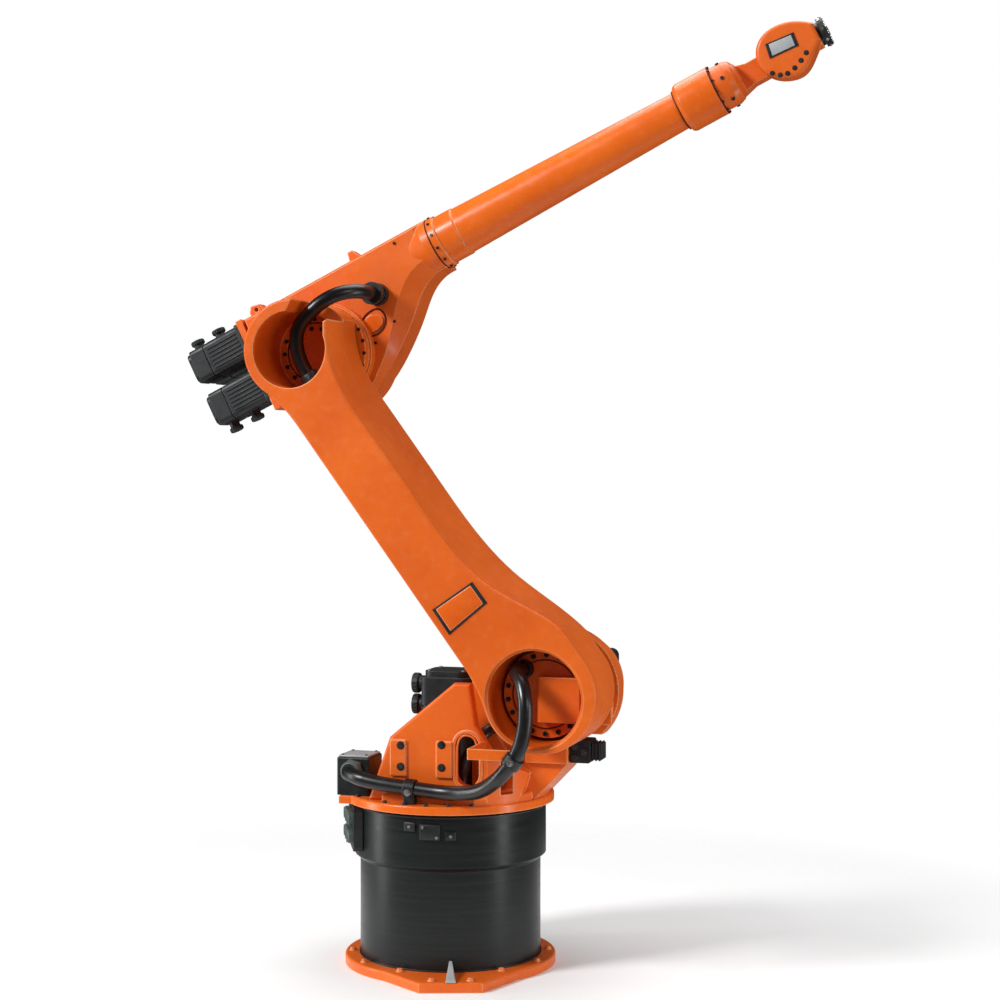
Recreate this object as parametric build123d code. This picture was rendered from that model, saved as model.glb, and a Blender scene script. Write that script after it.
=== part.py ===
from build123d import *
import math
import os

os.makedirs("parts", exist_ok=True)

# Six axis robot arm, drawn in the pose that the photograph shows. Lengths are millimetres and
# angles are degrees. X points where the arm points, Y away from the side that carries the
# link arm, Z up. The origin is on the floor, on the first axis.

# Axes of the arm
AXIS2_FORWARD = 350
AXIS2_HEIGHT = 815
LINK_LENGTH = 1200
FOREARM_RISE = 145
FOREARM_LENGTH = 1545
WRIST_TO_FLANGE = 158
LINK_ANGLE = 126.5
FOREARM_ANGLE = 26.2

# Gaps and small edges
RUN_GAP = 5
BOSS_GAP = 6
BEARING_GAP = 0.3
EDGE_R = 6

# Base plate, drum and its connector panel
BASE_TURN = 18
BASE_R = 308
BASE_T = 28
BASE_TAB_REACH = BASE_R + 68
BASE_TAB_WIDTH = 176
BASE_TAB_ROOT = BASE_R * 0.69
BASE_BOLT_PCD = 2 * BASE_R - 44
BASE_BOLT_COUNT = 12
BASE_BOLT_R = 9
DRUM_R = BASE_R - 44
DRUM_BAND_R = DRUM_R + 16
DRUM_BAND_Z = 322
DRUM_TOP = 470
DRUM_CHAMFER = 14
PANEL_W = 190
PANEL_H = 128
PANEL_D = 26
PANEL_TURN = 205
PANEL_Z = 404

# Turntable and cable box
TURNTABLE_R = DRUM_BAND_R + 24
TURNTABLE_T = 24
TURNTABLE_Z = DRUM_TOP + RUN_GAP
RACE_R = 200
COLUMN_Z = TURNTABLE_Z + TURNTABLE_T
BOX_X = -(BASE_R - 72)
BOX_Y = -130
BOX_W = 100
BOX_D = 112
BOX_H = 110
BOX_MARGIN = 8

# Column casting
COLUMN_H = AXIS2_HEIGHT - COLUMN_Z
COLUMN_HALF = BASE_R - 76
COLUMN_WALL = 28
COLUMN_FLOOR = 26
COLUMN_BACK = -108
COLUMN_FOOT_BACK = -172
COLUMN_BACK_DROP = COLUMN_H * 0.43
COLUMN_FRONT = 250
COLUMN_EDGE_R = 9
COLUMN_RIM = 8
PEAK_BACK = 266
PEAK_FRONT = 218
PEAK_RISE = 23
POCKET_FRONT = 100
SIDE_POCKET_BACK = 60
SIDE_POCKET_FRONT = 240
FOOT_T = 22
FOOT_MARGIN = 10
WINDOW_BACK = 90
WINDOW_FRONT = 160
WINDOW_LOW = COLUMN_Z + COLUMN_H * 0.16
WINDOW_TOP = COLUMN_Z + COLUMN_H * 0.63
WINDOW_RIM = 9
PAD_T = 8
PAD_X = (-80, 57)
PAD_W = 46
PAD_LOW = COLUMN_Z + COLUMN_H * 0.23
PAD_TOP = COLUMN_Z + COLUMN_H * 0.55

# Ear of the column, which carries the second axis
EAR_R = 180
EAR_MIDDLE_R = EAR_R - 14
EAR_FAR_R = EAR_R - 32
EAR_MIDDLE_Y = -40
EAR_FAR_Y = 20
EAR_HALF = 100
EAR_ROOT = 128
EAR_STEP_X = 385
EAR_STEP_Z = AXIS2_HEIGHT - 123
EAR_LUG_X = 484
EAR_LUG_W = 28
EAR_LUG_LOW = AXIS2_HEIGHT - 94
EAR_LUG_TOP = AXIS2_HEIGHT - 14
EAR_LUG_T = 12
STOP_BAR_BACK = 262
STOP_BAR_LOW = COLUMN_Z + COLUMN_H * 0.34
STOP_BAR_TOP = STOP_BAR_LOW + 46
STOP_BAR_T = 18
BUFFER_W = 92
BUFFER_D = 78
BUFFER_LOW = STOP_BAR_LOW + 2
BUFFER_H = 64

# Motors
MOTOR1_X = 4
MOTOR1_RISE = 36
MOTOR1_SIDE = 150
MOTOR2_SIDE = 160
MOTOR2_LENGTH = 230
MOTOR3_SIDE = 150
MOTOR3_LENGTH = 210
WRIST_MOTOR_SIDE = 104
WRIST_MOTOR_LENGTH = 178
WRIST_MOTOR_UP = 160
WRIST_MOTOR_LOW = 18
WRIST_MOTOR_FAR = 112

# Link arm
LINK_NEAR = -349
LINK_FAR = -125
LINK_FAR_WALL = 26
LINK_BACK = 112
LINK_NECK_R = 420
LOW_EYE_R = 160
LOW_EYE_SHIFT = 17
LOW_OPENING_R = 132
LOW_OPENING_RIM = 8
TOP_EYE_R = 143
TOP_OPENING_R = 110
TOP_OPENING_SHIFT = (2, -3)
TOP_GAP_DEPTH = 130
HORN_RISE = 143
GEAR2_R = 128
GEAR2_T = 20
HUB2_R = 100
HUB2_CAP_R = 122
HUB2_CAP_T = 18
HUB2_CAP_BACK = 150
HUB2_CAP_FACE = LINK_NEAR + HUB2_CAP_BACK - HUB2_CAP_T
COVER2_BACK = -15
COVER2_LOW = -73
COVER2_TOP = 52
COVER2_T = 45
HUB3_R = 84

# Forearm
GEAR3_R = 150
GEAR3_T = 60
GEAR3_LIP = 8
HOUSING_NEAR = LINK_FAR + RUN_GAP + GEAR3_T
HOUSING_FAR = 105
HOUSING_REAR = -205
HOUSING_REAR_LOW = -85
HOUSING_EYE_R = 180
HOUSING_BEVEL = 34
HOUSING_INSET = 12
TUBE_FLANGE_S = 434
TUBE_FLANGE_R = 79
TUBE_FLANGE_T = 24
HOUSING_REAR_TOP = FOREARM_RISE + TUBE_FLANGE_R - 2
SEAT_L = 130
TUBE_SLEEVE_R = 74
TUBE_SLEEVE_L = 62
TUBE_R0 = 71
TUBE_R1 = 55
LUG_UP = 34
LUG_T = 20
FRONT_LUG_S = 163
FRONT_LUG_L = 42
REAR_BLOCK_FRONT = -40
REAR_BLOCK_LOW = 96
REAR_BLOCK_FAR = 172
MOTOR_PLATE_T = 20

# Wrist, measured back from the fifth axis
COLLAR_BACK = 300
COLLAR_R = 73
ROLL_BACK = 182
ROLL_R = 65
ROLL_STRAIGHT = 40
ROLL_END = 114
ROLL_END_R = 42
FORK_ROOT_R = 48
FORK_NECK = 85
FORK_NECK_R = 32
FORK_NEAR = 8
FORK_FAR = 56
FORK_EYE_R = 46
FORK_PIN_R = 32
HEAD_NEAR = -60
HEAD_NOSE_R = 40
HEAD_NOSE_START = 74
FLANGE_R = 42
FLANGE_T = 26
FLANGE_PCD = 50
FLANGE_HOLE_R = 3
FLANGE_HOLE_DEPTH = 12

# Hoses
HOSE_R = 21
SHORT_HOSE_R = 17
CLAMP_R = 27
FITTING_R = 33
CLAMP_T = 30
STRAP_T = 7
STRAP_H = 30

AXIS2 = Vector(AXIS2_FORWARD, 0, AXIS2_HEIGHT)


def heading(angle):
    """Unit vector in the arm's plane, at an angle above the forward direction."""
    return Vector(math.cos(math.radians(angle)), 0, math.sin(math.radians(angle)))


AXIS3 = AXIS2 + heading(LINK_ANGLE) * LINK_LENGTH
FOREARM_DIR = heading(FOREARM_ANGLE)
FOREARM_UP = heading(FOREARM_ANGLE + 90)


def link_plane(y):
    """Plane across the arm at y, with x along the link arm and y towards its front."""
    return Plane(origin=(AXIS2.X, y, AXIS2.Z), x_dir=heading(LINK_ANGLE), z_dir=(0, 1, 0))


def forearm_plane(y):
    """Plane across the arm at y, with x along the forearm and y upwards."""
    return Plane(origin=(AXIS3.X, y, AXIS3.Z), x_dir=FOREARM_DIR, z_dir=(0, -1, 0))


def side_plane(y):
    """Plane across the arm at y, with x forward and y up."""
    return Plane(origin=(0, y, 0), x_dir=(1, 0, 0), z_dir=(0, -1, 0))


def forearm_axis_plane(along):
    """Plane square to the forearm, with its normal towards the wrist."""
    place = AXIS3 + FOREARM_UP * FOREARM_RISE + FOREARM_DIR * along
    return Plane(origin=place, x_dir=(0, 1, 0), z_dir=FOREARM_DIR)


def link_slab(sketch, near, far):
    return extrude(link_plane(near) * sketch, amount=far - near)


def forearm_slab(sketch, near, far):
    return extrude(forearm_plane(far) * sketch, amount=far - near)


def side_slab(sketch, near, far):
    return extrude(side_plane(far) * sketch, amount=far - near)


def side_face(*points):
    return make_face(Polyline(*points, close=True))


def turned(profile, plane):
    """Solid of a closed profile of (along, radius) points turned about the plane's normal."""
    outline = Polyline(*[(radius, 0, along) for along, radius in profile], close=True)
    return plane * revolve(make_face(outline), Axis.Z)


def base_plate():
    """Round foot plate with a flat tab at the front and the rear and a ring of bolt holes."""
    half = BASE_TAB_WIDTH / 2
    tab = side_face(
        (BASE_TAB_REACH, half),
        (BASE_TAB_ROOT, BASE_TAB_ROOT),
        (BASE_TAB_ROOT, -BASE_TAB_ROOT),
        (BASE_TAB_REACH, -half),
    )
    plate = extrude(Circle(BASE_R) + tab + Rot(0, 0, 180) * tab, BASE_T)
    plate = fillet(plate.faces().sort_by(Axis.Z)[-1].outer_wire().edges(), EDGE_R)
    for place in PolarLocations(BASE_BOLT_PCD / 2, BASE_BOLT_COUNT):
        plate -= place * Cylinder(BASE_BOLT_R, 4 * BASE_T)
    return Rot(0, 0, BASE_TURN - 90) * plate


def base_drum():
    """Round pedestal with a wider band at its top, solid here for the gear and cables inside."""
    profile = [
        (BASE_T, 0),
        (BASE_T, DRUM_R),
        (DRUM_BAND_Z - DRUM_CHAMFER, DRUM_R),
        (DRUM_BAND_Z, DRUM_BAND_R),
        (DRUM_TOP - EDGE_R, DRUM_BAND_R),
        (DRUM_TOP, DRUM_BAND_R - EDGE_R),
        (DRUM_TOP, 0),
    ]
    return turned(profile, Plane.XY)


def connector_panel():
    """Box on the drum's side that takes the power and data connectors."""
    block = Pos(DRUM_BAND_R + PANEL_D / 2 - DRUM_CHAMFER, 0, PANEL_Z) * Box(PANEL_D, PANEL_W, PANEL_H)
    block = fillet(block.edges().filter_by(Axis.X), 2 * EDGE_R)
    return Rot(0, 0, PANEL_TURN) * block - Cylinder(DRUM_BAND_R, 2 * DRUM_TOP)


def turntable():
    """Turning disc with a lobe under the cable box and the bearing race below it."""
    lobe_reach = BOX_X - BOX_W / 2 + BOX_MARGIN
    lobe = Pos(lobe_reach / 2, BOX_Y) * Rectangle(-lobe_reach, BOX_D + BOX_MARGIN)
    disc = Pos(0, 0, TURNTABLE_Z) * extrude(Circle(TURNTABLE_R) + lobe, TURNTABLE_T)
    disc = fillet(disc.faces().sort_by(Axis.Z)[-1].outer_wire().edges(), EDGE_R)
    race = Pos(0, 0, DRUM_TOP + BEARING_GAP) * extrude(Circle(RACE_R), RUN_GAP)
    return disc + race


def cable_box():
    on_floor = (Align.CENTER, Align.CENTER, Align.MIN)
    box = Pos(BOX_X, BOX_Y, COLUMN_Z) * Box(BOX_W, BOX_D, BOX_H, align=on_floor)
    return fillet(box.edges().filter_by(Axis.Z) + box.faces().sort_by(Axis.Z)[-1].edges(), EDGE_R)


def column_body():
    """Outer block of the column, with slanted rear and top, kept inside the turntable."""
    outline = side_face(
        (COLUMN_FOOT_BACK, COLUMN_Z),
        (COLUMN_BACK, AXIS2_HEIGHT - COLUMN_BACK_DROP),
        (AXIS2_FORWARD - PEAK_BACK, AXIS2_HEIGHT + PEAK_RISE),
        (AXIS2_FORWARD - PEAK_FRONT, AXIS2_HEIGHT + PEAK_RISE),
        (AXIS2_FORWARD - 200, AXIS2_HEIGHT - COLUMN_H * 0.3),
        (AXIS2_FORWARD - 145, AXIS2_HEIGHT - COLUMN_H * 0.58),
        (AXIS2_FORWARD - 78, COLUMN_Z + COLUMN_H * 0.24),
        (COLUMN_FRONT, COLUMN_Z),
    )
    body = side_slab(outline, -COLUMN_HALF, COLUMN_HALF)
    sides = body.faces().sort_by(Axis.Y)
    body = fillet(sides[0].edges() + sides[-1].edges(), COLUMN_EDGE_R)
    return body & Cylinder(TURNTABLE_R - COLUMN_RIM, 4 * AXIS2_HEIGHT)


def column_foot():
    """Flange that spreads the column over the turntable."""
    half = COLUMN_HALF + 2 * FOOT_MARGIN
    plate = Rectangle(COLUMN_FRONT - COLUMN_BACK + 90, 2 * half)
    plate = Pos((COLUMN_FRONT + COLUMN_BACK) / 2 + 30, 0) * plate & Circle(TURNTABLE_R - FOOT_MARGIN)
    foot = Pos(0, 0, COLUMN_Z) * extrude(plate, FOOT_T)
    return fillet(foot.faces().sort_by(Axis.Z)[-1].outer_wire().edges(), FOOT_T / 3)


def column_pocket(back, front, near, far):
    """Deep hollow, open at the top, between two X and two Y values."""
    height = 2 * AXIS2_HEIGHT
    corner = (Align.MIN, Align.MIN, Align.MIN)
    return Pos(back, near, COLUMN_Z + COLUMN_FLOOR) * Box(front - back, far - near, height, align=corner)


def column_ear():
    """Ear on the second axis, stepped down towards its motor, with the web that carries it."""
    low_front = (EAR_STEP_X + 14, AXIS2_HEIGHT - COLUMN_H * 0.6)
    web = side_face(
        (EAR_ROOT, COLUMN_Z),
        (EAR_ROOT, AXIS2_HEIGHT - COLUMN_H * 0.3),
        (AXIS2.X - EAR_R + EAR_LUG_T, AXIS2.Z),
        (AXIS2.X, AXIS2.Z),
        low_front,
        (low_front[0] - 48, COLUMN_Z + COLUMN_H * 0.22),
        (TURNTABLE_R - 2 * FOOT_MARGIN, COLUMN_Z),
    )
    middle = Pos(AXIS2.X, AXIS2.Z)
    ear = side_slab(web, -EAR_HALF, EAR_HALF)
    ear += side_slab(middle * Circle(EAR_R), -EAR_HALF, EAR_MIDDLE_Y)
    ear += side_slab(middle * Circle(EAR_MIDDLE_R), EAR_MIDDLE_Y, EAR_FAR_Y)
    ear += side_slab(middle * Circle(EAR_FAR_R), EAR_FAR_Y, EAR_HALF)
    reach = 2 * EAR_R
    corner = Pos(EAR_STEP_X + reach / 2, EAR_STEP_Z - reach / 2) * Rectangle(reach, reach)
    return ear - side_slab(corner, -EAR_HALF, EAR_HALF)


def ear_lug():
    height = EAR_LUG_TOP - EAR_LUG_LOW
    middle = (EAR_LUG_TOP + EAR_LUG_LOW) / 2
    centre = Pos(EAR_LUG_X + EAR_LUG_W / 2, -EAR_HALF - EAR_LUG_T / 2, middle)
    return centre * Box(EAR_LUG_W, EAR_LUG_T, height)


def column_pads():
    """Two raised pads on the near wall, each for a pair of bolts."""
    pads = []
    for x in PAD_X:
        height = PAD_TOP - PAD_LOW
        block = Pos(x, -COLUMN_HALF - PAD_T / 2, PAD_LOW + height / 2) * Box(PAD_W, PAD_T, height)
        pads.append(block)
    return pads


def window_shape(margin):
    height = WINDOW_TOP - WINDOW_LOW + 2 * margin
    width = WINDOW_FRONT - WINDOW_BACK + 2 * margin
    place = Pos((WINDOW_BACK + WINDOW_FRONT) / 2, (WINDOW_LOW + WINDOW_TOP) / 2)
    return place * SlotOverall(height, width, rotation=90)


def column_casting():
    """Turning column: hollow block for the first motor, an ear, pads and a hose window."""
    inside = COLUMN_HALF - COLUMN_WALL
    body = column_body() + column_foot()
    body -= column_pocket(COLUMN_BACK + COLUMN_WALL, POCKET_FRONT, -inside, inside)
    body -= column_pocket(SIDE_POCKET_BACK, SIDE_POCKET_FRONT, -inside, -EAR_HALF - BOSS_GAP)
    body += side_slab(window_shape(WINDOW_RIM), -COLUMN_HALF - PAD_T / 2, -COLUMN_HALF + 1)
    body -= side_slab(window_shape(0), -COLUMN_HALF - 2 * PAD_T, -EAR_HALF - BOSS_GAP)
    for pad in column_pads():
        body += pad
    return body + column_ear() + ear_lug()


def stop_bar():
    """Bar along the ear's lower edge that holds the end stop's rubber block."""
    length = EAR_STEP_X - STOP_BAR_BACK
    height = STOP_BAR_TOP - STOP_BAR_LOW
    place = Pos(STOP_BAR_BACK + length / 2, -EAR_HALF - STOP_BAR_T / 2, STOP_BAR_LOW + height / 2)
    return place * Box(length, STOP_BAR_T, height)


def stop_buffer():
    """Black rubber block of the end stop, with a narrower nose."""
    middle = (-EAR_HALF + BUFFER_D / 2, BUFFER_LOW + BUFFER_H / 2)
    block = Pos(EAR_STEP_X + BUFFER_W / 3, *middle) * Box(2 * BUFFER_W / 3, BUFFER_D, BUFFER_H)
    nose = Pos(EAR_STEP_X + 5 * BUFFER_W / 6, *middle) * Box(BUFFER_W / 3, BUFFER_D * 0.7, BUFFER_H * 0.7)
    return fillet(block.edges().filter_by(Axis.Y), EDGE_R) + nose


def hub2():
    """Fixed hub through the link arm's far wall, with the bearing land and the inner cap."""
    collar = Plane(origin=(AXIS2.X, -EAR_HALF, AXIS2.Z), x_dir=(1, 0, 0), z_dir=(0, -1, 0))
    cap = -HUB2_CAP_FACE - HUB2_CAP_T - EAR_HALF
    bearing_r = HUB2_R + BOSS_GAP - BEARING_GAP
    land = -EAR_HALF - LINK_FAR
    profile = [
        (0, 0),
        (0, HUB2_R),
        (land, HUB2_R),
        (land, bearing_r),
        (land + LINK_FAR_WALL, bearing_r),
        (land + LINK_FAR_WALL, HUB2_R),
        (cap, HUB2_R),
        (cap, HUB2_CAP_R),
        (cap + HUB2_CAP_T, HUB2_CAP_R),
        (cap + HUB2_CAP_T, 0),
    ]
    return turned(profile, collar)


def cover2():
    """Flat box on the hub's cap, round where it follows the cap's edge."""
    back = AXIS2.X + COVER2_BACK
    height = COVER2_TOP - COVER2_LOW
    middle = (back + HUB2_CAP_R / 2, AXIS2.Z + (COVER2_TOP + COVER2_LOW) / 2)
    outline = Pos(*middle) * Rectangle(HUB2_CAP_R, height) & Pos(AXIS2.X, AXIS2.Z) * Circle(HUB2_CAP_R - 2)
    box = side_slab(outline, HUB2_CAP_FACE - COVER2_T, HUB2_CAP_FACE)
    box = fillet(box.faces().sort_by(Axis.X)[0].edges().filter_by(Axis.Z), 2 * EDGE_R)
    return box


def motor(side, length, plane, socket_turn, shares=(0.45, 0.88)):
    """Servo motor: face plate, ribbed square body, rear cap and two sockets on one side."""
    body = extrude(RectangleRounded(side, side, side * 0.14), length)
    plate = extrude(RectangleRounded(side * 1.08, side * 1.08, side * 0.1), side * 0.1)
    cap = Pos(0, 0, length) * extrude(RectangleRounded(side * 0.9, side * 0.9, side * 0.2), side * 0.12)
    shell = body + plate + cap
    slot = Pos(0, 0, length * 0.72) * Rectangle(side * 1.2, side * 1.2)
    slot -= Pos(0, 0, length * 0.72) * RectangleRounded(side * 0.94, side * 0.94, side * 0.12)
    shell -= extrude(slot, side * 0.04)
    for share in shares:
        place = Rot(0, 0, socket_turn) * Pos(side / 2, 0, length * share) * Rot(0, 90, 0)
        shell += place * Cylinder(side * 0.15, side * 0.5)
        shell += place * Pos(0, 0, side * 0.22) * Cylinder(side * 0.19, side * 0.12)
    return plane * shell


def motor1():
    floor = COLUMN_Z + COLUMN_FLOOR
    length = AXIS2_HEIGHT + MOTOR1_RISE - floor - MOTOR1_SIDE * 0.12
    return motor(MOTOR1_SIDE, length, Plane(origin=(MOTOR1_X, 0, floor)), 180, (0.72, 0.92))


def motor2():
    plane = Plane(origin=(AXIS2.X, EAR_HALF, AXIS2.Z), x_dir=(1, 0, 0), z_dir=(0, 1, 0))
    return motor(MOTOR2_SIDE, MOTOR2_LENGTH, plane, 90)


def motor3():
    plane = Plane(origin=(AXIS3.X, HOUSING_FAR, AXIS3.Z), x_dir=FOREARM_DIR, z_dir=(0, 1, 0))
    return motor(MOTOR3_SIDE, MOTOR3_LENGTH, plane, 180)


def wrist_motor(y, rise, socket_turn):
    start = HOUSING_REAR - MOTOR_PLATE_T
    origin = AXIS3 + FOREARM_DIR * start + FOREARM_UP * rise + Vector(0, y, 0)
    plane = Plane(origin=origin, x_dir=(0, 1, 0), z_dir=-FOREARM_DIR)
    return motor(WRIST_MOTOR_SIDE, WRIST_MOTOR_LENGTH, plane, socket_turn)


def link_outline():
    """Side view of the link arm: two eyes and the bar between them, before its front is cut."""
    low = Pos(0, LOW_EYE_SHIFT) * Circle(LOW_EYE_R)
    top = Pos(LINK_LENGTH, 0) * Circle(TOP_EYE_R)
    eye_front = LOW_EYE_SHIFT + LOW_EYE_R
    bar = side_face(
        (0, -LINK_BACK),
        (LINK_LENGTH, -LINK_BACK),
        (LINK_LENGTH, HORN_RISE),
        (LINK_LENGTH / 2, eye_front),
        (0, eye_front),
    )
    outline = low + top + bar
    necks = outline.vertices().filter_by_position(Axis.Y, -LINK_BACK - 1, -LINK_BACK + 1)
    return fillet(necks, LINK_NECK_R)


def link_front(eye_rise, eye_reach, low_rise, middle, high_rise):
    """Region in front of the bar at one depth, its edge drawn through the given rises."""
    horn = LINK_LENGTH + 6
    edge = Spline(
        (-20, eye_rise),
        (eye_reach, eye_rise - 4),
        (LINK_LENGTH * 0.275, low_rise),
        (LINK_LENGTH * 0.6, middle),
        (LINK_LENGTH * 0.82, middle + 1),
        (horn - 110, high_rise),
        (horn, HORN_RISE),
        (horn + 50, HORN_RISE + 50),
    )
    top = 3 * HORN_RISE
    sides = Polyline(edge @ 1, (horn + 50, top), (-20, top), edge @ 0)
    return make_face([edge, *sides.edges()])


def top_gap():
    """Side view of the gap through the upper eye's near ring, up to the hook's tip."""
    return side_face((-54, 84), (2, 125), (-2, 190), (170, 205), (92, 45))


def opening_rim():
    """Cone that breaks the lower opening's near edge."""
    near = link_plane(LINK_NEAR - 1)
    wide = LOW_OPENING_R + LOW_OPENING_RIM + 1
    return turned([(0, 0), (0, wide), (LOW_OPENING_RIM + 1, LOW_OPENING_R), (LOW_OPENING_RIM + 1, 0)], near)


def link_arm():
    """Cast link arm: solid bar with a slanted front, two open eyes and the hook at the top."""
    body = link_slab(link_outline(), LINK_NEAR, LINK_FAR)
    near = link_plane(LINK_NEAR - 1) * link_front(LOW_EYE_R + 26, 95, 77, 50, 75)
    far = link_plane(LINK_FAR + 1) * link_front(LOW_EYE_R + 22, 80, 104, 77, 88)
    body -= loft([near, far], ruled=True)
    body = fillet(body.faces().sort_by(Axis.Y)[0].outer_wire().edges(), EDGE_R)
    low_hollow = link_slab(Circle(LOW_OPENING_R), LINK_NEAR - 1, LINK_FAR - LINK_FAR_WALL)
    top = Pos(LINK_LENGTH, 0)
    opening = top * Pos(*TOP_OPENING_SHIFT) * Circle(TOP_OPENING_R)
    body = body - low_hollow - opening_rim() - link_slab(opening, LINK_NEAR - 1, LINK_FAR - LINK_FAR_WALL)
    body -= link_slab(Circle(HUB2_R + BOSS_GAP), LINK_NEAR, LINK_FAR + 1)
    body -= link_slab(top * Circle(HUB3_R + BOSS_GAP), LINK_NEAR, LINK_FAR + 1)
    return body - link_slab(top * top_gap(), LINK_NEAR - 1, LINK_NEAR + TOP_GAP_DEPTH)


def gear2():
    """Bolted gear flange between the link arm and the ear."""
    ring = Circle(GEAR2_R) - Circle(HUB2_R + BOSS_GAP)
    return side_slab(Pos(AXIS2.X, AXIS2.Z) * ring, LINK_FAR, LINK_FAR + GEAR2_T)


def hub3():
    plane = Plane(origin=(AXIS3.X, LINK_FAR + RUN_GAP, AXIS3.Z), x_dir=(1, 0, 0), z_dir=(0, -1, 0))
    bearing_r = HUB3_R + BOSS_GAP - BEARING_GAP
    length = RUN_GAP + LINK_FAR_WALL
    profile = [(0, 0), (0, HUB3_R), (RUN_GAP, HUB3_R), (RUN_GAP, bearing_r), (length, bearing_r), (length, 0)]
    return turned(profile, plane)


def gear3():
    plane = Plane(origin=(AXIS3.X, HOUSING_NEAR, AXIS3.Z), x_dir=(1, 0, 0), z_dir=(0, -1, 0))
    step = GEAR3_T / 2
    inner_r = GEAR3_R - GEAR3_LIP
    profile = [(0, 0), (0, GEAR3_R), (step, GEAR3_R), (step, inner_r), (GEAR3_T, inner_r), (GEAR3_T, 0)]
    return turned(profile, plane)


def housing_outline(inset, sweep):
    """Side view of the forearm housing; sweep lists the points of its curved lower front."""
    rear = HOUSING_REAR + inset
    top = HOUSING_REAR_TOP - inset
    eye_r = HOUSING_EYE_R - inset
    turn = math.radians(229)
    rear_eye = (eye_r * math.cos(turn), eye_r * math.sin(turn))
    curve = Spline(*sweep)
    bottom = ThreePointArc(curve @ 1, (0, -eye_r), rear_eye)
    rest = Polyline(rear_eye, (rear, HOUSING_REAR_LOW + inset), (rear, top), (sweep[0][0], top), sweep[0])
    return make_face([curve, bottom, *rest.edges()])


def housing_point(angle, radius):
    return (radius * math.cos(math.radians(angle)), radius * math.sin(math.radians(angle)))


def arm_housing():
    """Forearm casting: eye on the third axis that sweeps up into the round tube seat."""
    low = FOREARM_RISE - TUBE_FLANGE_R
    outer = [(TUBE_FLANGE_S, low), (350, 44), (284, -14), (212, -75), housing_point(-49.5, HOUSING_EYE_R)]
    eye_r = HOUSING_EYE_R - HOUSING_INSET
    inner = [(TUBE_FLANGE_S - 40, low + 44), (338, 98), (262, 38), (200, -38), housing_point(-44, eye_r)]
    whole = housing_outline(0, outer)
    face = housing_outline(HOUSING_INSET, inner)
    near = HOUSING_NEAR + HOUSING_BEVEL
    far = HOUSING_FAR - HOUSING_BEVEL
    body = forearm_slab(whole, near, far)
    body += loft([forearm_plane(near) * whole, forearm_plane(HOUSING_NEAR) * face], ruled=True)
    body += loft([forearm_plane(far) * whole, forearm_plane(HOUSING_FAR) * face], ruled=True)
    cone_end = SEAT_L - TUBE_FLANGE_T
    seat = [(0, 0), (0, TUBE_FLANGE_R / 2), (cone_end, TUBE_FLANGE_R), (SEAT_L, TUBE_FLANGE_R), (SEAT_L, 0)]
    body += turned(seat, forearm_axis_plane(TUBE_FLANGE_S - SEAT_L))
    block = forearm_plane(REAR_BLOCK_FAR) * side_face(
        (HOUSING_REAR, REAR_BLOCK_LOW),
        (REAR_BLOCK_FRONT, REAR_BLOCK_LOW),
        (REAR_BLOCK_FRONT, FOREARM_RISE + HOUSING_REAR_LOW / 2),
        (REAR_BLOCK_FRONT - 60, HOUSING_REAR_TOP),
        (HOUSING_REAR, HOUSING_REAR_TOP),
    )
    return body + extrude(block, amount=REAR_BLOCK_FAR)


def motor_plate():
    """Plate on the housing's rear that the three wrist motors bolt to."""
    plane = Plane(
        origin=AXIS3 + FOREARM_DIR * HOUSING_REAR, x_dir=(0, 1, 0), z_dir=-FOREARM_DIR
    )
    top = -HOUSING_REAR_TOP
    outline = side_face(
        (HOUSING_NEAR + 4, top),
        (REAR_BLOCK_FAR, top),
        (REAR_BLOCK_FAR, -REAR_BLOCK_LOW),
        (HOUSING_FAR - HOUSING_BEVEL, -WRIST_MOTOR_LOW - WRIST_MOTOR_SIDE / 2),
        (HOUSING_FAR - HOUSING_BEVEL, -HOUSING_REAR_LOW - HOUSING_INSET),
        (HOUSING_NEAR + 4, -HOUSING_REAR_LOW - HOUSING_INSET),
    )
    return extrude(plane * outline, amount=MOTOR_PLATE_T)


def lifting_eye():
    """Lug with a hole on top of the housing's rear."""
    root = HOUSING_REAR + 14
    outline = side_face(
        (root, HOUSING_REAR_TOP),
        (root, HOUSING_REAR_TOP + LUG_UP / 2),
        (root + 12, HOUSING_REAR_TOP + LUG_UP),
        (root + 40, HOUSING_REAR_TOP + LUG_UP - EDGE_R),
        (root + 52, HOUSING_REAR_TOP),
    )
    hole = Pos(root + 24, HOUSING_REAR_TOP + LUG_UP / 2) * Circle(LUG_UP / 5)
    middle = (HOUSING_NEAR + HOUSING_FAR) / 2
    return forearm_slab(outline - hole, middle - LUG_T, middle + LUG_T)


def front_lug():
    """Second, lower lug on the housing's top."""
    low = HOUSING_REAR_TOP
    outline = side_face(
        (FRONT_LUG_S, low),
        (FRONT_LUG_S + EDGE_R, low + LUG_UP),
        (FRONT_LUG_S + FRONT_LUG_L / 2, low + LUG_UP),
        (FRONT_LUG_S + FRONT_LUG_L, low),
    )
    middle = (HOUSING_NEAR + HOUSING_FAR) / 2
    return forearm_slab(outline, middle - LUG_T, middle + LUG_T)


def tube_flange():
    sleeve_end = TUBE_FLANGE_T + TUBE_SLEEVE_L
    profile = [
        (0, 0),
        (0, TUBE_FLANGE_R),
        (TUBE_FLANGE_T, TUBE_FLANGE_R),
        (TUBE_FLANGE_T, TUBE_SLEEVE_R),
        (sleeve_end - 4, TUBE_SLEEVE_R),
        (sleeve_end, TUBE_SLEEVE_R - 3),
        (sleeve_end, 0),
    ]
    return turned(profile, forearm_axis_plane(TUBE_FLANGE_S))


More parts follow.
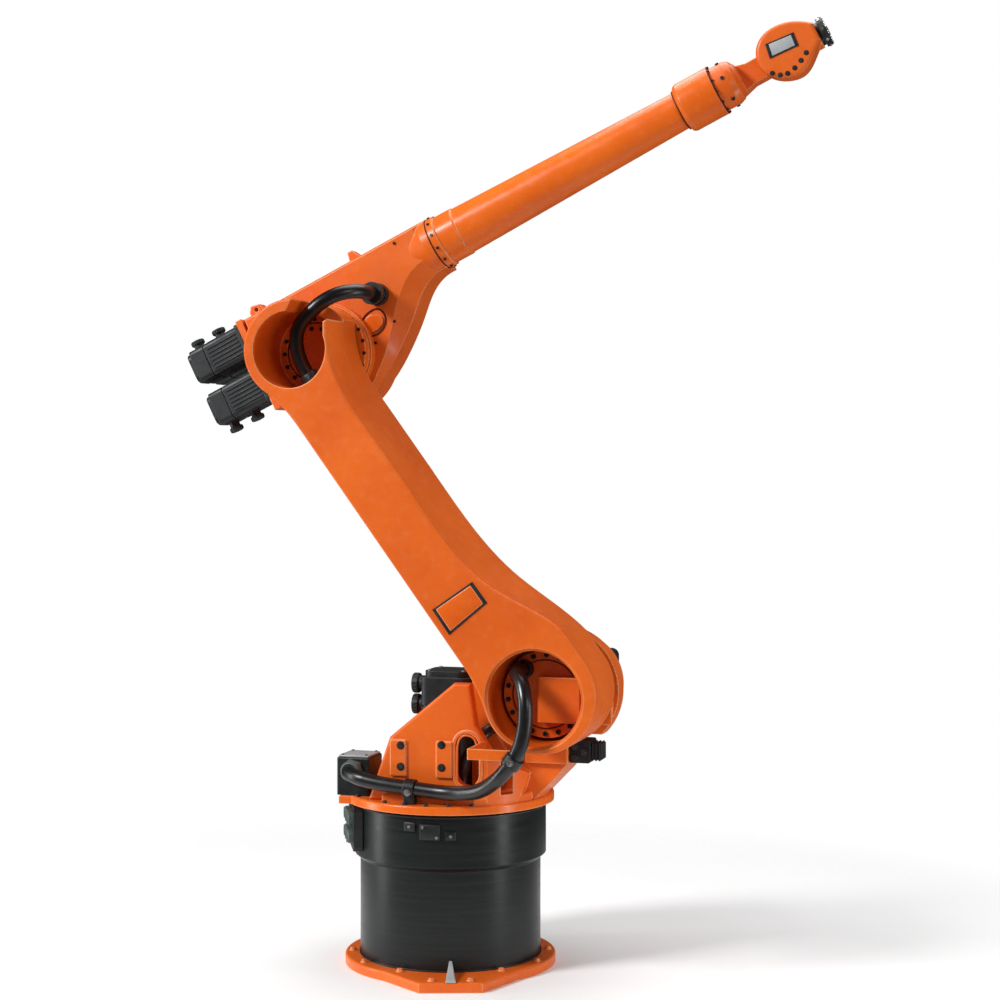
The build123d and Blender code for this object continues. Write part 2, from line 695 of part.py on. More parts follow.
def forearm_tube():
    start = TUBE_FLANGE_S + TUBE_FLANGE_T + TUBE_SLEEVE_L
    length = FOREARM_LENGTH - COLLAR_BACK - start
    return turned([(0, 0), (0, TUBE_R0), (length, TUBE_R1), (length, 0)], forearm_axis_plane(start))


def wrist_collar():
    """Fixed sleeve at the front of the tube, in which the roll axis turns."""
    length = COLLAR_BACK - ROLL_BACK - 1
    profile = [
        (0, 0),
        (0, TUBE_R1 + 4),
        (6, COLLAR_R - 4),
        (14, COLLAR_R),
        (length - 3, COLLAR_R),
        (length, COLLAR_R - 3),
        (length, 0),
    ]
    return turned(profile, forearm_axis_plane(FOREARM_LENGTH - COLLAR_BACK))


def roll_housing():
    """Turning neck: round body that narrows into the one arm that carries the head."""
    length = ROLL_BACK - ROLL_END
    profile = [
        (0, 0),
        (0, ROLL_R),
        (ROLL_STRAIGHT, ROLL_R),
        (ROLL_STRAIGHT + 16, ROLL_R - 6),
        (length, ROLL_END_R),
        (length, 0),
    ]
    body = turned(profile, forearm_axis_plane(FOREARM_LENGTH - ROLL_BACK))
    eye = Pos(FOREARM_LENGTH, FOREARM_RISE)
    root = FOREARM_LENGTH - ROLL_BACK + ROLL_STRAIGHT
    neck = FOREARM_LENGTH - FORK_NECK
    arm = side_face(
        (root, FOREARM_RISE + FORK_ROOT_R),
        (neck, FOREARM_RISE + FORK_NECK_R),
        (FOREARM_LENGTH, FOREARM_RISE + FORK_NECK_R),
        (FOREARM_LENGTH, FOREARM_RISE - FORK_NECK_R),
        (neck, FOREARM_RISE - FORK_NECK_R),
        (root, FOREARM_RISE - FORK_ROOT_R),
    )
    arm = forearm_slab(eye * Circle(FORK_EYE_R) + arm, FORK_NEAR, FORK_FAR)
    pin = forearm_slab(eye * Circle(FORK_PIN_R), FORK_NEAR - RUN_GAP + BEARING_GAP, FORK_FAR)
    return body + arm + pin


def wrist_head():
    """Egg shaped head that tilts on the fifth axis and carries the tool flange."""
    end = WRIST_TO_FLANGE - FLANGE_T
    rear = [(40, 70), (-12, 60), (-46, 18), (-40, -38), (4, -76), (50, -84)]
    shape = Spline((end, 26), (end - 34, 52), *rear, (end - 30, -52), (end, -26))
    egg = make_face([shape, Line(shape @ 1, shape @ 0)])
    body = forearm_slab(Pos(FOREARM_LENGTH, FOREARM_RISE) * egg, HEAD_NEAR, FORK_NEAR - RUN_GAP)
    body = fillet(body.faces().sort_by(Axis.Y)[0].outer_wire().edges(), 2 * EDGE_R)
    length = end - HEAD_NOSE_START
    profile = [(0, 0), (0, HEAD_NOSE_R - 10), (length / 2, HEAD_NOSE_R), (length, HEAD_NOSE_R), (length, 0)]
    nose = turned(profile, forearm_axis_plane(FOREARM_LENGTH + HEAD_NOSE_START))
    eye = Pos(FOREARM_LENGTH, FOREARM_RISE) * Circle(FORK_EYE_R + 2 * RUN_GAP)
    return body + (nose - forearm_slab(eye, FORK_NEAR - RUN_GAP, FORK_FAR + EDGE_R))


def tool_flange():
    start = FOREARM_LENGTH + WRIST_TO_FLANGE - FLANGE_T + BEARING_GAP
    length = FLANGE_T - BEARING_GAP
    neck_r = FLANGE_R - 8
    profile = [(0, 0), (0, neck_r), (8, neck_r), (8, FLANGE_R), (length, FLANGE_R), (length, 0)]
    disc = turned(profile, forearm_axis_plane(start))
    face = forearm_axis_plane(FOREARM_LENGTH + WRIST_TO_FLANGE)
    for place in PolarLocations(FLANGE_PCD / 2, 4):
        disc -= face * place * Cylinder(FLANGE_HOLE_R, 2 * FLANGE_HOLE_DEPTH)
    return disc


def arc_radii(points):
    """Radius for each corner of a route: 0.45 of its shorter run over the tangent of half the turn."""
    radii = []
    for before, here, after in zip(points, points[1:], points[2:]):
        run_in = here - before
        run_out = after - here
        turn = math.radians(run_in.get_angle(run_out))
        radii.append(0.45 * min(run_in.length, run_out.length) / math.tan(turn / 2))
    return radii


def hose(points, radius, name):
    """Round hose along straight runs joined by tangent arcs."""
    radii = arc_radii(points)
    path = FilletPolyline(*points, radius=radii)
    start = Plane(origin=points[0], z_dir=points[1] - points[0])
    solid = sweep(start * Circle(radius), path=path)
    print(name, "radii", [round(value) for value in radii], "length", round(path.length))
    straight = math.pi * radius**2 * path.length
    print(name, "volume over section times length", round(solid.volume / straight, 3))
    return solid


def near_wall(x, y, z):
    """Point of the lower hose's first stretch, out from the near wall and above the turntable."""
    return Vector(x, y - COLUMN_HALF, COLUMN_Z + z)


def near_link(x, y, share):
    """Point of the lower hose in front of the link arm, at a share of the column's height."""
    return Vector(AXIS2.X + x, LINK_NEAR + y, COLUMN_Z + COLUMN_H * share)


def near_eye(x, y, z):
    """Point of the lower hose by the link arm's lower eye."""
    return Vector(AXIS2.X + x, y, AXIS2.Z + z)


def near_axis3(x, y, z):
    """Point of the upper hose, by the link arm's upper eye."""
    return Vector(AXIS3.X + x, LINK_NEAR + y, AXIS3.Z + z)


def inside_column(x, y, z):
    """Point of the short hose, out from the ear and above the turntable."""
    return Vector(x, -EAR_HALF - y, COLUMN_Z + z)


LOWER_ROUTE = [
    Vector(BOX_X, BOX_Y - BOX_D / 2, COLUMN_Z + 73),
    near_wall(BOX_X, EDGE_R, 73),
    near_wall(BOX_X + 40, -30, 65),
    near_wall(-128, -36, 53),
    near_wall(-17, -36, 42),
    near_wall(88, -44, 35),
    near_wall(193, -98, 53),
    near_link(-82, -29, 0.34),
    near_link(-34, -37, 0.535),
    near_link(-14, -37, 0.75),
    near_eye(-12, LINK_NEAR - 33, -9),
    near_eye(-32, LINK_NEAR - 3, 47),
    near_eye(-62, HUB2_CAP_FACE - 93, 69),
    near_eye(-62, HUB2_CAP_FACE - 29, 69),
]
UPPER_ROUTE = [
    near_axis3(24, 113, -88),
    near_axis3(6, 109, -64),
    near_axis3(-14, 101, -20),
    near_axis3(-20, 91, 28),
    near_axis3(-9, 87, 72),
    near_axis3(24, 87, 108),
    near_axis3(62, 95, 142),
    near_axis3(104, 112, 164),
    near_axis3(140, 141, 172),
    near_axis3(160, 181, 172),
    near_axis3(160, 227, 172),
]
SHORT_ROUTE = [
    inside_column(88, 74, COLUMN_FLOOR),
    inside_column(88, 74, 64),
    inside_column(102, 80, 116),
    inside_column(132, 80, 166),
    inside_column(162, 56, 200),
    inside_column(162, BOSS_GAP, 200),
]


def hose_socket(end, direction, radius, length):
    from_end = (Align.CENTER, Align.CENTER, Align.MIN)
    return Plane(origin=end, z_dir=direction) * Cylinder(radius, length, align=from_end)


def upper_fitting():
    """Socket on the housing's near side, with a collar, that takes the upper hose's end."""
    end = UPPER_ROUTE[-1]
    reach = HOUSING_NEAR - end.Y
    profile = [(0, 0), (0, FITTING_R), (reach / 3, FITTING_R), (reach / 3, CLAMP_R), (2 * reach / 3, CLAMP_R)]
    profile += [(2 * reach / 3, FITTING_R), (reach, FITTING_R), (reach, 0)]
    return turned(profile, Plane(origin=end, x_dir=(1, 0, 0), z_dir=(0, 1, 0)))


def clamp_ring(place, direction, tube):
    """Ring round the hose, cut to the hose itself."""
    ring = Plane(origin=place, z_dir=direction) * Cylinder(CLAMP_R, CLAMP_T)
    return ring - tube


def rear_clamp(tube):
    """Clamp on a short post that stands on the column's foot."""
    place = (LOWER_ROUTE[3] + LOWER_ROUTE[4]) * 0.5 + Vector(40, 0, -4)
    ring = clamp_ring(place, LOWER_ROUTE[4] - LOWER_ROUTE[3], tube)
    corner = (Align.CENTER, Align.CENTER, Align.MIN)
    post = Pos(place.X, place.Y, COLUMN_Z) * Box(STRAP_H, STRAP_H, place.Z - COLUMN_Z, align=corner)
    return ring + (post - tube)


def front_clamp_place():
    return LOWER_ROUTE[7] + (LOWER_ROUTE[8] - LOWER_ROUTE[7]) * 0.7


def front_clamp(tube):
    return clamp_ring(front_clamp_place(), LOWER_ROUTE[8] - LOWER_ROUTE[7], tube)


def hose_bracket(ring, tube):
    """Bent strap from the column's near wall round to the front clamp."""
    place = front_clamp_place()
    wall_end = math.sqrt((TURNTABLE_R - COLUMN_RIM) ** 2 - COLUMN_HALF**2)
    wall_x = (WINDOW_FRONT + WINDOW_RIM + wall_end) / 2
    middle = place.Z + STRAP_H / 2
    reach = -COLUMN_HALF - place.Y
    leg = Pos(wall_x, -COLUMN_HALF - reach / 2, middle) * Box(STRAP_T, reach, STRAP_H)
    run = place.X - wall_x + STRAP_T
    arm = Pos((wall_x + place.X) / 2, place.Y, middle) * Box(run, STRAP_T, STRAP_H)
    return leg + arm - ring - tube


def write(name, shape):
    export_step(shape, "parts/" + name + ".step")


def write_base():
    write("base_plate", base_plate())
    write("base_drum", base_drum())
    write("connector_panel", connector_panel())


def write_column():
    write("turntable", turntable())
    write("column_casting", column_casting())
    write("stop_bar", stop_bar())
    write("stop_buffer", stop_buffer())
    write("a2_hub", hub2())
    write("a2_cover", cover2())
    write("a1_motor", motor1())
    write("a2_motor", motor2())
    write("cable_box", cable_box())


def write_lower_hoses():
    tube = hose(LOWER_ROUTE, HOSE_R, "lower_hose")
    ring = front_clamp(tube)
    last = LOWER_ROUTE[-1]
    write("lower_hose", tube)
    write("front_clamp", ring)
    write("rear_clamp", rear_clamp(tube))
    write("hose_bracket", hose_bracket(ring, tube))
    write("lower_hose_fitting", hose_socket(last, (0, 1, 0), CLAMP_R, HUB2_CAP_FACE - last.Y))
    write("short_hose", hose(SHORT_ROUTE, SHORT_HOSE_R, "short_hose"))


def write_link():
    write("link_arm", link_arm())
    write("a2_gear", gear2())


def write_forearm():
    write("a3_hub", hub3())
    write("a3_gear", gear3())
    write("arm_housing", arm_housing())
    write("motor_plate", motor_plate())
    write("lifting_eye", lifting_eye())
    write("front_lug", front_lug())
    write("a3_motor", motor3())
    near = HOUSING_NEAR + WRIST_MOTOR_SIDE / 2 + EDGE_R
    write("a4_motor", wrist_motor(near, WRIST_MOTOR_UP, -90))
    write("a5_motor", wrist_motor(near, WRIST_MOTOR_LOW, 90))
    write("a6_motor", wrist_motor(WRIST_MOTOR_FAR, WRIST_MOTOR_UP, -90))
    write("upper_hose", hose(UPPER_ROUTE, HOSE_R, "upper_hose"))
    write("upper_hose_fitting", upper_fitting())
    write("tube_flange", tube_flange())
    write("forearm_tube", forearm_tube())
    write("wrist_collar", wrist_collar())


def write_wrist():
    write("roll_housing", roll_housing())
    write("wrist_head", wrist_head())
    write("tool_flange", tool_flange())


write_base()
write_column()
write_lower_hoses()
write_link()
write_forearm()
write_wrist()
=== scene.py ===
import math

import bmesh
import bpy
from mathutils import Matrix, Vector


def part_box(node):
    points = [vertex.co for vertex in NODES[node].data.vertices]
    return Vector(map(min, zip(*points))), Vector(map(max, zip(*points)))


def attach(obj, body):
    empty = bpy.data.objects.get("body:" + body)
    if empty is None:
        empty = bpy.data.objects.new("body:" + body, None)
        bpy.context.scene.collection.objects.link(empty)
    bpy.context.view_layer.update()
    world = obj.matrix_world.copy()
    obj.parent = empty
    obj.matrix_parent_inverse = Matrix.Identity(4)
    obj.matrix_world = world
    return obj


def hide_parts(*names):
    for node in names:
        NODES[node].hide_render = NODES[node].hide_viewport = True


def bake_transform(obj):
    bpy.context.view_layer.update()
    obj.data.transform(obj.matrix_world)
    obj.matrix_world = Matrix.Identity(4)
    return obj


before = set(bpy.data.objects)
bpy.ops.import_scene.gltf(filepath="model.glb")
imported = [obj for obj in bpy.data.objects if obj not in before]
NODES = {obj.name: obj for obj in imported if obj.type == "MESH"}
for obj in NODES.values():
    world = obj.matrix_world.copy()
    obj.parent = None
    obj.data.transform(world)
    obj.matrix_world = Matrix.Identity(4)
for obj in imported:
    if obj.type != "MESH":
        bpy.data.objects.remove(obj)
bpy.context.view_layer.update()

# Places of the axes in millimetres, as in the part's source. X is forward, Z is up, and the
# side with the link arm is at negative Y.
AXIS2 = Vector((350, 0, 815))
LINK_LENGTH = 1200
LINK_ANGLE = 126.5
FOREARM_ANGLE = 26.2
FOREARM_RISE = 145
FOREARM_LENGTH = 1545
WRIST_TO_FLANGE = 158
LINK_NEAR = -349
LINK_FAR = -125
LINK_FAR_WALL = 26
LINK_FLOOR = LINK_FAR - LINK_FAR_WALL
GEAR2_T = 20
RUN_GAP = 5
DRUM_R = 264
DRUM_BAND_R = 280
DRUM_TOP = 470
COLUMN_Z = 499
COLUMN_NEAR = -232
BASE_T = 28
BASE_TURN = 18
HOUSING_NEAR = -60
HOUSING_FAR = 105
HOUSING_REAR = -205
MOTOR_PLATE_T = 20
HUB_CAP_FACE = -217
EAR_HALF = 100
HEAD_NEAR = -60
MOTOR1_X = 4
MOTOR1_FLOOR = 525
MOTOR1_L = 308
MOTOR1_SIDE = 150
MOTOR2_L = 230
MOTOR2_SIDE = 160
MOTOR3_L = 210
MOTOR3_SIDE = 150
WRIST_MOTOR_L = 178
WRIST_MOTOR_SIDE = 104
HOSE_EXIT = (-236, -186, 572)
# Node, height over the third axis and turn of the sockets
WRIST_MOTORS = (("a4_motor", 160, -90), ("a5_motor", 18, 90), ("a6_motor", 160, -90))
HOSE_R = 21
MM = 0.001
NEAR = Vector((0, -1, 0))
UP = Vector((0, 0, 1))


def heading(angle):
    """Unit vector in the arm's plane, at an angle above the forward direction."""
    return Vector((math.cos(math.radians(angle)), 0, math.sin(math.radians(angle))))


LINK_DIR = heading(LINK_ANGLE)
LINK_FRONT = heading(LINK_ANGLE - 90)
FOREARM_DIR = heading(FOREARM_ANGLE)
FOREARM_UP = heading(FOREARM_ANGLE + 90)
AXIS3 = AXIS2 + LINK_DIR * LINK_LENGTH
AXIS5 = AXIS3 + FOREARM_UP * FOREARM_RISE + FOREARM_DIR * FOREARM_LENGTH


def link_point(along, front, y):
    """Point of the link arm, from the second axis towards the third, then to its front."""
    return AXIS2 + LINK_DIR * along + LINK_FRONT * front + Vector((0, y, 0))


def arm_point(along, up, y):
    """Point of the forearm, from the third axis towards the wrist, then up."""
    return AXIS3 + FOREARM_DIR * along + FOREARM_UP * up + Vector((0, y, 0))


def place_at(point, normal, along=None):
    """Matrix that puts local Z on the normal and local X as near to along as it can."""
    z = Vector(normal).normalized()
    x = Vector(along) if along else z.orthogonal()
    x = (x - z * x.dot(z)).normalized()
    matrix = Matrix((x, z.cross(x), z)).transposed().to_4x4()
    matrix.translation = Vector(point)
    return matrix


def turned(place, angle, reach, rise=0):
    """Place turned about its local Z, then moved out along local X and up along local Z."""
    return place @ Matrix.Rotation(math.radians(angle), 4, "Z") @ Matrix.Translation((reach, 0, rise))


def ring_places(centre, normal, radius, angles, along=None):
    """Places round a circle, each with its local Z on the normal."""
    middle = place_at(centre, normal, along)
    return [turned(middle, angle, radius) for angle in angles]


def every(count, start=0.0):
    """Angles of a number of places, evenly spread round a circle."""
    return [start + 360 * i / count for i in range(count)]


# Materials


class Shader:
    """A new node material with short calls for the nodes that all of them use."""

    def __init__(self, name):
        self.material = bpy.data.materials.new(name)
        self.material.use_nodes = True
        self.tree = self.material.node_tree
        self.bsdf = self.tree.nodes["Principled BSDF"]
        self.place = self.tree.nodes.new("ShaderNodeTexCoord").outputs["Object"]

    def node(self, kind, values=None, **settings):
        made = self.tree.nodes.new("ShaderNode" + kind)
        for key, value in settings.items():
            setattr(made, key, value)
        for key, value in (values or {}).items():
            self.set(made, key, value)
        return made

    def set(self, node, key, value):
        socket = node.inputs[key]
        if isinstance(value, bpy.types.NodeSocket):
            self.tree.links.new(value, socket)
        else:
            socket.default_value = value

    def principled(self, **values):
        for key, value in values.items():
            self.set(self.bsdf, key.replace("_", " "), value)

    def stretched(self, scale):
        return self.node("Mapping", {"Vector": self.place, "Scale": scale}).outputs["Vector"]

    def noise(self, scale, detail=4.0, vector=None, roughness=0.55):
        values = {"Vector": vector or self.place, "Scale": scale, "Detail": detail, "Roughness": roughness}
        return self.node("TexNoise", values).outputs["Fac"]

    def span(self, value, low, high, to_low, to_high):
        values = {"Value": value, "From Min": low, "From Max": high, "To Min": to_low, "To Max": to_high}
        return self.node("MapRange", values).outputs["Result"]

    def mix(self, share, first, second):
        made = self.node("Mix", data_type="RGBA")
        self.set(made, "Factor", share)
        for socket, value in ((made.inputs[6], first), (made.inputs[7], second)):
            if isinstance(value, bpy.types.NodeSocket):
                self.tree.links.new(value, socket)
            else:
                socket.default_value = (*value, 1)
        return made.outputs[2]

    def times(self, first, second):
        made = self.node("Math", operation="MULTIPLY")
        self.set(made, 0, first)
        self.set(made, 1, second)
        return made.outputs[0]

    def edges(self, radius):
        """Share of an edge that gets a painted highlight, from how far a rounded normal leaves the face's
        own, and that normal.
        """
        soft = self.node("Bevel", {"Radius": radius}, samples=6).outputs["Normal"]
        own = self.node("NewGeometry").outputs["Normal"]
        dot = self.node("VectorMath", operation="DOT_PRODUCT")
        self.tree.links.new(soft, dot.inputs[0])
        self.tree.links.new(own, dot.inputs[1])
        return self.span(dot.outputs["Value"], 0.99, 0.86, 0.0, 1.0), soft

    def bump(self, height, strength, distance, normal=None):
        values = {"Height": height, "Strength": strength, "Distance": distance}
        if normal:
            values["Normal"] = normal
        made = self.node("Bump", values)
        self.set(self.bsdf, "Normal", made.outputs["Normal"])
        return made.outputs["Normal"]


def paint_material(name, body, deep, dust_and_edge_highlight, rough=0.38, edge_radius=0.006, edge_highlight_share=0.9):
    """Coloured enamel on a casting: cloudy colour, fine orange peel and lighter edges, which are a painted
    highlight.
    """
    s = Shader(name)
    edge, soft = s.edges(edge_radius)
    cloud = s.span(s.noise(3.2, 5.0), 0.35, 0.7, 0.0, 1.0)
    colour = s.mix(cloud, body, deep)
    dust = s.span(s.noise(38.0, 6.0), 0.52, 0.85, 0.0, 0.10)
    colour = s.mix(dust, colour, dust_and_edge_highlight)
    # Edges lightened towards the pale colour: a painted highlight where light would catch them.
    colour = s.mix(s.times(edge, edge_highlight_share), colour, dust_and_edge_highlight)
    s.principled(Base_Color=colour, Roughness=s.span(s.noise(26.0), 0.3, 0.7, rough - 0.07, rough + 0.09))
    s.principled(Specular_IOR_Level=0.32, Coat_Weight=0.08, Coat_Roughness=0.16)
    peel = s.bump(s.noise(260.0, 2.0), 0.10, 0.0006, soft)
    s.bump(s.noise(22.0, 3.0), 0.10, 0.003, peel)
    return s.material


def drum_material():
    """Black pedestal paint with fine level streaks that were left by rolling and wiping."""
    s = Shader("drum_black")
    edge, soft = s.edges(0.003)
    streak = s.noise(1.0, 5.0, s.stretched((3, 3, 130)), 0.6)
    cloud = s.noise(5.0, 4.0)
    colour = s.mix(s.span(streak, 0.4, 0.72, 0.0, 1.0), (0.0045, 0.0065, 0.0065), (0.010, 0.013, 0.013))
    colour = s.mix(s.span(cloud, 0.45, 0.8, 0.0, 0.3), colour, (0.015, 0.018, 0.018))
    # Lighter edges: a painted highlight.
    colour = s.mix(s.times(edge, 0.5), colour, (0.07, 0.08, 0.08))
    s.principled(Base_Color=colour, Roughness=s.span(streak, 0.3, 0.75, 0.28, 0.38))
    s.principled(Specular_IOR_Level=0.32)
    s.bump(streak, 0.05, 0.0008, soft)
    return s.material


def cast_material(name, low, high, rough, grain=90.0, edge_highlight_share=0.45, gloss=0.5):
    """Dark moulded or cast surface with grain, patchy dust and lighter edges, which are a painted
    highlight.
    """
    s = Shader(name)
    edge, soft = s.edges(0.0025)
    colour = s.mix(s.span(s.noise(9.0, 5.0), 0.35, 0.75, 0.0, 1.0), low, high)
    # Edges lightened from the high colour: a painted highlight.
    colour = s.mix(s.times(edge, edge_highlight_share), colour, tuple(min(1.0, 4 * c + 0.03) for c in high))
    s.principled(Base_Color=colour, Roughness=s.span(s.noise(30.0), 0.3, 0.7, rough - 0.08, rough + 0.1))
    s.principled(Specular_IOR_Level=gloss)
    s.bump(s.noise(grain, 5.0), 0.22, 0.0015, soft)
    return s.material


def hose_material():
    """Smooth, slightly glossy hose with scuffs and faint unevenness."""
    s = Shader("hose_black")
    scuff = s.span(s.noise(24.0, 6.0), 0.55, 0.8, 0.0, 0.5)
    colour = s.mix(scuff, (0.004, 0.004, 0.005), (0.022, 0.024, 0.027))
    s.principled(Base_Color=colour, Roughness=s.span(s.noise(12.0), 0.3, 0.7, 0.26, 0.44))
    s.principled(Specular_IOR_Level=0.5, Coat_Weight=0.15, Coat_Roughness=0.2)
    s.bump(s.noise(70.0, 3.0), 0.12, 0.001)
    return s.material


def steel_material(name, low, high, rough, metal=1.0):
    """Turned steel with fine lines and stains."""
    s = Shader(name)
    lines = s.noise(1.0, 4.0, s.stretched((90, 90, 700)))
    colour = s.mix(s.span(s.noise(60.0, 4.0), 0.35, 0.7, 0.0, 1.0), low, high)
    s.principled(Base_Color=colour, Metallic=metal)
    s.principled(Roughness=s.span(lines, 0.3, 0.7, rough - 0.08, rough + 0.1))
    s.bump(lines, 0.12, 0.0006)
    return s.material


# The pale colour of each orange paint serves dust patches and the painted edge highlight.
ORANGE = paint_material(
    "orange_paint_cast", body=(0.80, 0.142, 0.010), deep=(0.66, 0.098, 0.006), dust_and_edge_highlight=(1.0, 0.46, 0.20)
)
ORANGE_MACHINED = paint_material(
    "orange_paint_smooth", body=(0.81, 0.145, 0.010), deep=(0.68, 0.102, 0.006), dust_and_edge_highlight=(1.0, 0.48, 0.22),
    rough=0.28, edge_radius=0.005,
)
DRUM = drum_material()
MOTOR = cast_material("motor_cast_black", (0.006, 0.008, 0.009), (0.018, 0.022, 0.025), rough=0.50)
PLASTIC = cast_material(
    "moulded_black", (0.005, 0.006, 0.007), (0.014, 0.017, 0.018), rough=0.40, grain=220.0
)
RUBBER = cast_material(
    "buffer_rubber_black", (0.008, 0.008, 0.009), (0.022, 0.022, 0.024),
    rough=0.66, grain=150.0, edge_highlight_share=0.3, gloss=0.3,
)
HOSE = hose_material()
STEEL = steel_material("steel_turned", (0.50, 0.49, 0.47), (0.72, 0.71, 0.69), rough=0.30)
BLACK_SCREW = steel_material(
    "screw_blackened", (0.020, 0.020, 0.022), (0.055, 0.054, 0.056), rough=0.38, metal=0.4
)
GASKET = cast_material(
    "joint_dark", (0.050, 0.007, 0.003), (0.110, 0.014, 0.006),
    rough=0.6, grain=120.0, edge_highlight_share=0.0, gloss=0.2,
)
GREY = cast_material(
    "connector_grey", (0.055, 0.075, 0.070), (0.11, 0.14, 0.13), rough=0.42, grain=160.0, edge_highlight_share=0.3
)
LID = cast_material(
    "lid_grey", (0.30, 0.32, 0.33), (0.44, 0.46, 0.47), rough=0.38, grain=160.0, edge_highlight_share=0.2
)

NODE_MATERIALS = {
    DRUM: ("base_drum",),
    PLASTIC: (
        "connector_panel", "cable_box", "front_clamp", "rear_clamp", "lower_hose_fitting",
        "upper_hose_fitting",
    ),
    MOTOR: ("a1_motor", "a2_motor", "a3_motor", "a4_motor", "a5_motor", "a6_motor"),
    HOSE: ("lower_hose", "short_hose", "upper_hose"),
    RUBBER: ("stop_buffer",),
    BLACK_SCREW: ("tool_flange",),
    ORANGE_MACHINED: (
        "a2_hub", "a3_hub", "a2_gear", "a3_gear", "tube_flange", "forearm_tube", "wrist_collar",
        "turntable", "hose_bracket",
    ),
}


def dress_nodes():
    """Gives every CAD node its material; those that no row names are painted castings."""
    wanted = {node: material for material, nodes in NODE_MATERIALS.items() for node in nodes}
    for name, node in NODES.items():
        node.data.materials.clear()
        node.data.materials.append(wanted.get(name, ORANGE))
        node.data.shade_smooth()


# Mesh building. Shapes are drawn in millimetres and scaled when the piece is made.


def linked_object(name, shape, material):
    """Object in the scene from a bmesh in millimetres, which is used up."""
    bmesh.ops.recalc_face_normals(shape, faces=shape.faces)
    shape.transform(Matrix.Scale(MM, 4))
    mesh = bpy.data.meshes.new(name)
    shape.to_mesh(mesh)
    shape.free()
    mesh.materials.append(material)
    made = bpy.data.objects.new(name, mesh)
    bpy.context.scene.collection.objects.link(made)
    return made


def piece(name, shape, body, material, sharp=35):
    """Smooth object that rides on a CAD body, or on none where no body is named."""
    made = linked_object(name, shape, material)
    made.data.shade_smooth()
    made.data.set_sharp_from_angle(angle=math.radians(sharp))
    if body:
        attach(made, body)
    return made


def one(name, body, material, build, sharp=35):
    """Piece from one build call, which draws into a new bmesh."""
    shape = bmesh.new()
    build(shape)
    return piece(name, shape, body, material, sharp)


def ring(shape, matrix, radius, height, count, hexagon=False):
    """Ring of vertices, or one vertex without a radius; a hexagon's corners are on the circle."""
    if radius == 0:
        return [shape.verts.new(matrix @ Vector((0, 0, height)))]
    verts = []
    for step in range(count):
        turn = 2 * math.pi * step / count
        reach = radius
        if hexagon:
            part = turn % (math.pi / 3) - math.pi / 6
            reach = radius * math.cos(math.pi / 6) / math.cos(part)
        point = Vector((reach * math.cos(turn), reach * math.sin(turn), height))
        verts.append(shape.verts.new(matrix @ point))
    return verts


def join_rings(shape, rings, count):
    """Faces between each ring and the next; a ring of one vertex is a tip."""
    for low, high in zip(rings, rings[1:]):
        for i in range(count):
            j = (i + 1) % count
            around = [low[i % len(low)], low[j % len(low)], high[j % len(high)], high[i % len(high)]]
            shape.faces.new(list(dict.fromkeys(around)))


def lathe(shape, matrix, profile, count=32, hexed=()):
    """Surface of a profile of (radius, height) turned about local Z; hexed rows are hexagons."""
    rings = [ring(shape, matrix, r, h, count, i in hexed) for i, (r, h) in enumerate(profile)]
    join_rings(shape, rings, count)


def socket_screw(shape, matrix, radius, height):
    """Cap screw with a hexagon socket."""
    profile = [(0, -1), (radius, -1), (radius, 0.78 * height), (0.9 * radius, height)]
    profile += [(0.58 * radius, height), (0.56 * radius, 0.35 * height), (0, 0.35 * height)]
    lathe(shape, matrix, profile, count=18, hexed=(4, 5))


def hex_bolt(shape, matrix, radius, height):
    """Hexagon head on a round washer."""
    profile = [(0, -1), (1.45 * radius, -1), (1.45 * radius, 0.22 * height), (1.02 * radius, 0.26 * height)]
    profile += [(radius, 0.26 * height), (radius, 0.88 * height), (0.84 * radius, height), (0, height)]
    lathe(shape, matrix, profile, count=18, hexed=(4, 5))


def fasteners(name, body, places, radius, height, head=socket_screw, material=BLACK_SCREW):
    """One piece with a screw or bolt head at each place."""
    shape = bmesh.new()
    for place in places:
        head(shape, place, radius, height)
    return piece(name, shape, body, material)


def block(shape, matrix, size, round_by, segments=3):
    """Box centred on the matrix, with all its edges rounded."""
    made = bmesh.ops.create_cube(shape, size=1, matrix=matrix @ Matrix.Diagonal((*size, 1)))
    edges = list({edge for vert in made["verts"] for edge in vert.link_edges})
    bmesh.ops.bevel(shape, geom=edges, offset=round_by, segments=segments, affect="EDGES", profile=0.5)


def prism(shape, matrix, outline, height, round_by):
    """Plate of an outline in local XY, with rounded edges on its top."""
    low = [shape.verts.new(matrix @ Vector((x, y, 0))) for x, y in outline]
    high = [shape.verts.new(matrix @ Vector((x, y, height))) for x, y in outline]
    shape.faces.new(low)
    top = shape.faces.new(high)
    for i in range(len(outline)):
        j = (i + 1) % len(outline)
        shape.faces.new([low[i], low[j], high[j], high[i]])
    edges = list(top.edges)
    bmesh.ops.bevel(shape, geom=edges, offset=round_by, segments=2, affect="EDGES", profile=0.5)


def hull(shape, matrix, points):
    """Smallest convex shape round the points."""
    bmesh.ops.convex_hull(shape, input=[shape.verts.new(matrix @ Vector(p)) for p in points])


def smooth_line(points, per_run=10):
    """Evenly spread points of a smooth curve that is steered by the given points."""
    data = bpy.data.curves.new("route", "CURVE")
    data.dimensions = "3D"
    data.resolution_u = per_run
    spline = data.splines.new("NURBS")
    spline.points.add(len(points) - 1)
    for target, point in zip(spline.points, points):
        target.co = (*point, 1)
    spline.order_u = 3
    spline.use_endpoint_u = True
    holder = bpy.data.objects.new("route", data)
    bpy.context.scene.collection.objects.link(holder)
    mesh = bpy.data.meshes.new_from_object(holder.evaluated_get(bpy.context.evaluated_depsgraph_get()))
    line = [vert.co.copy() for vert in mesh.vertices]
    bpy.data.objects.remove(holder)
    return line


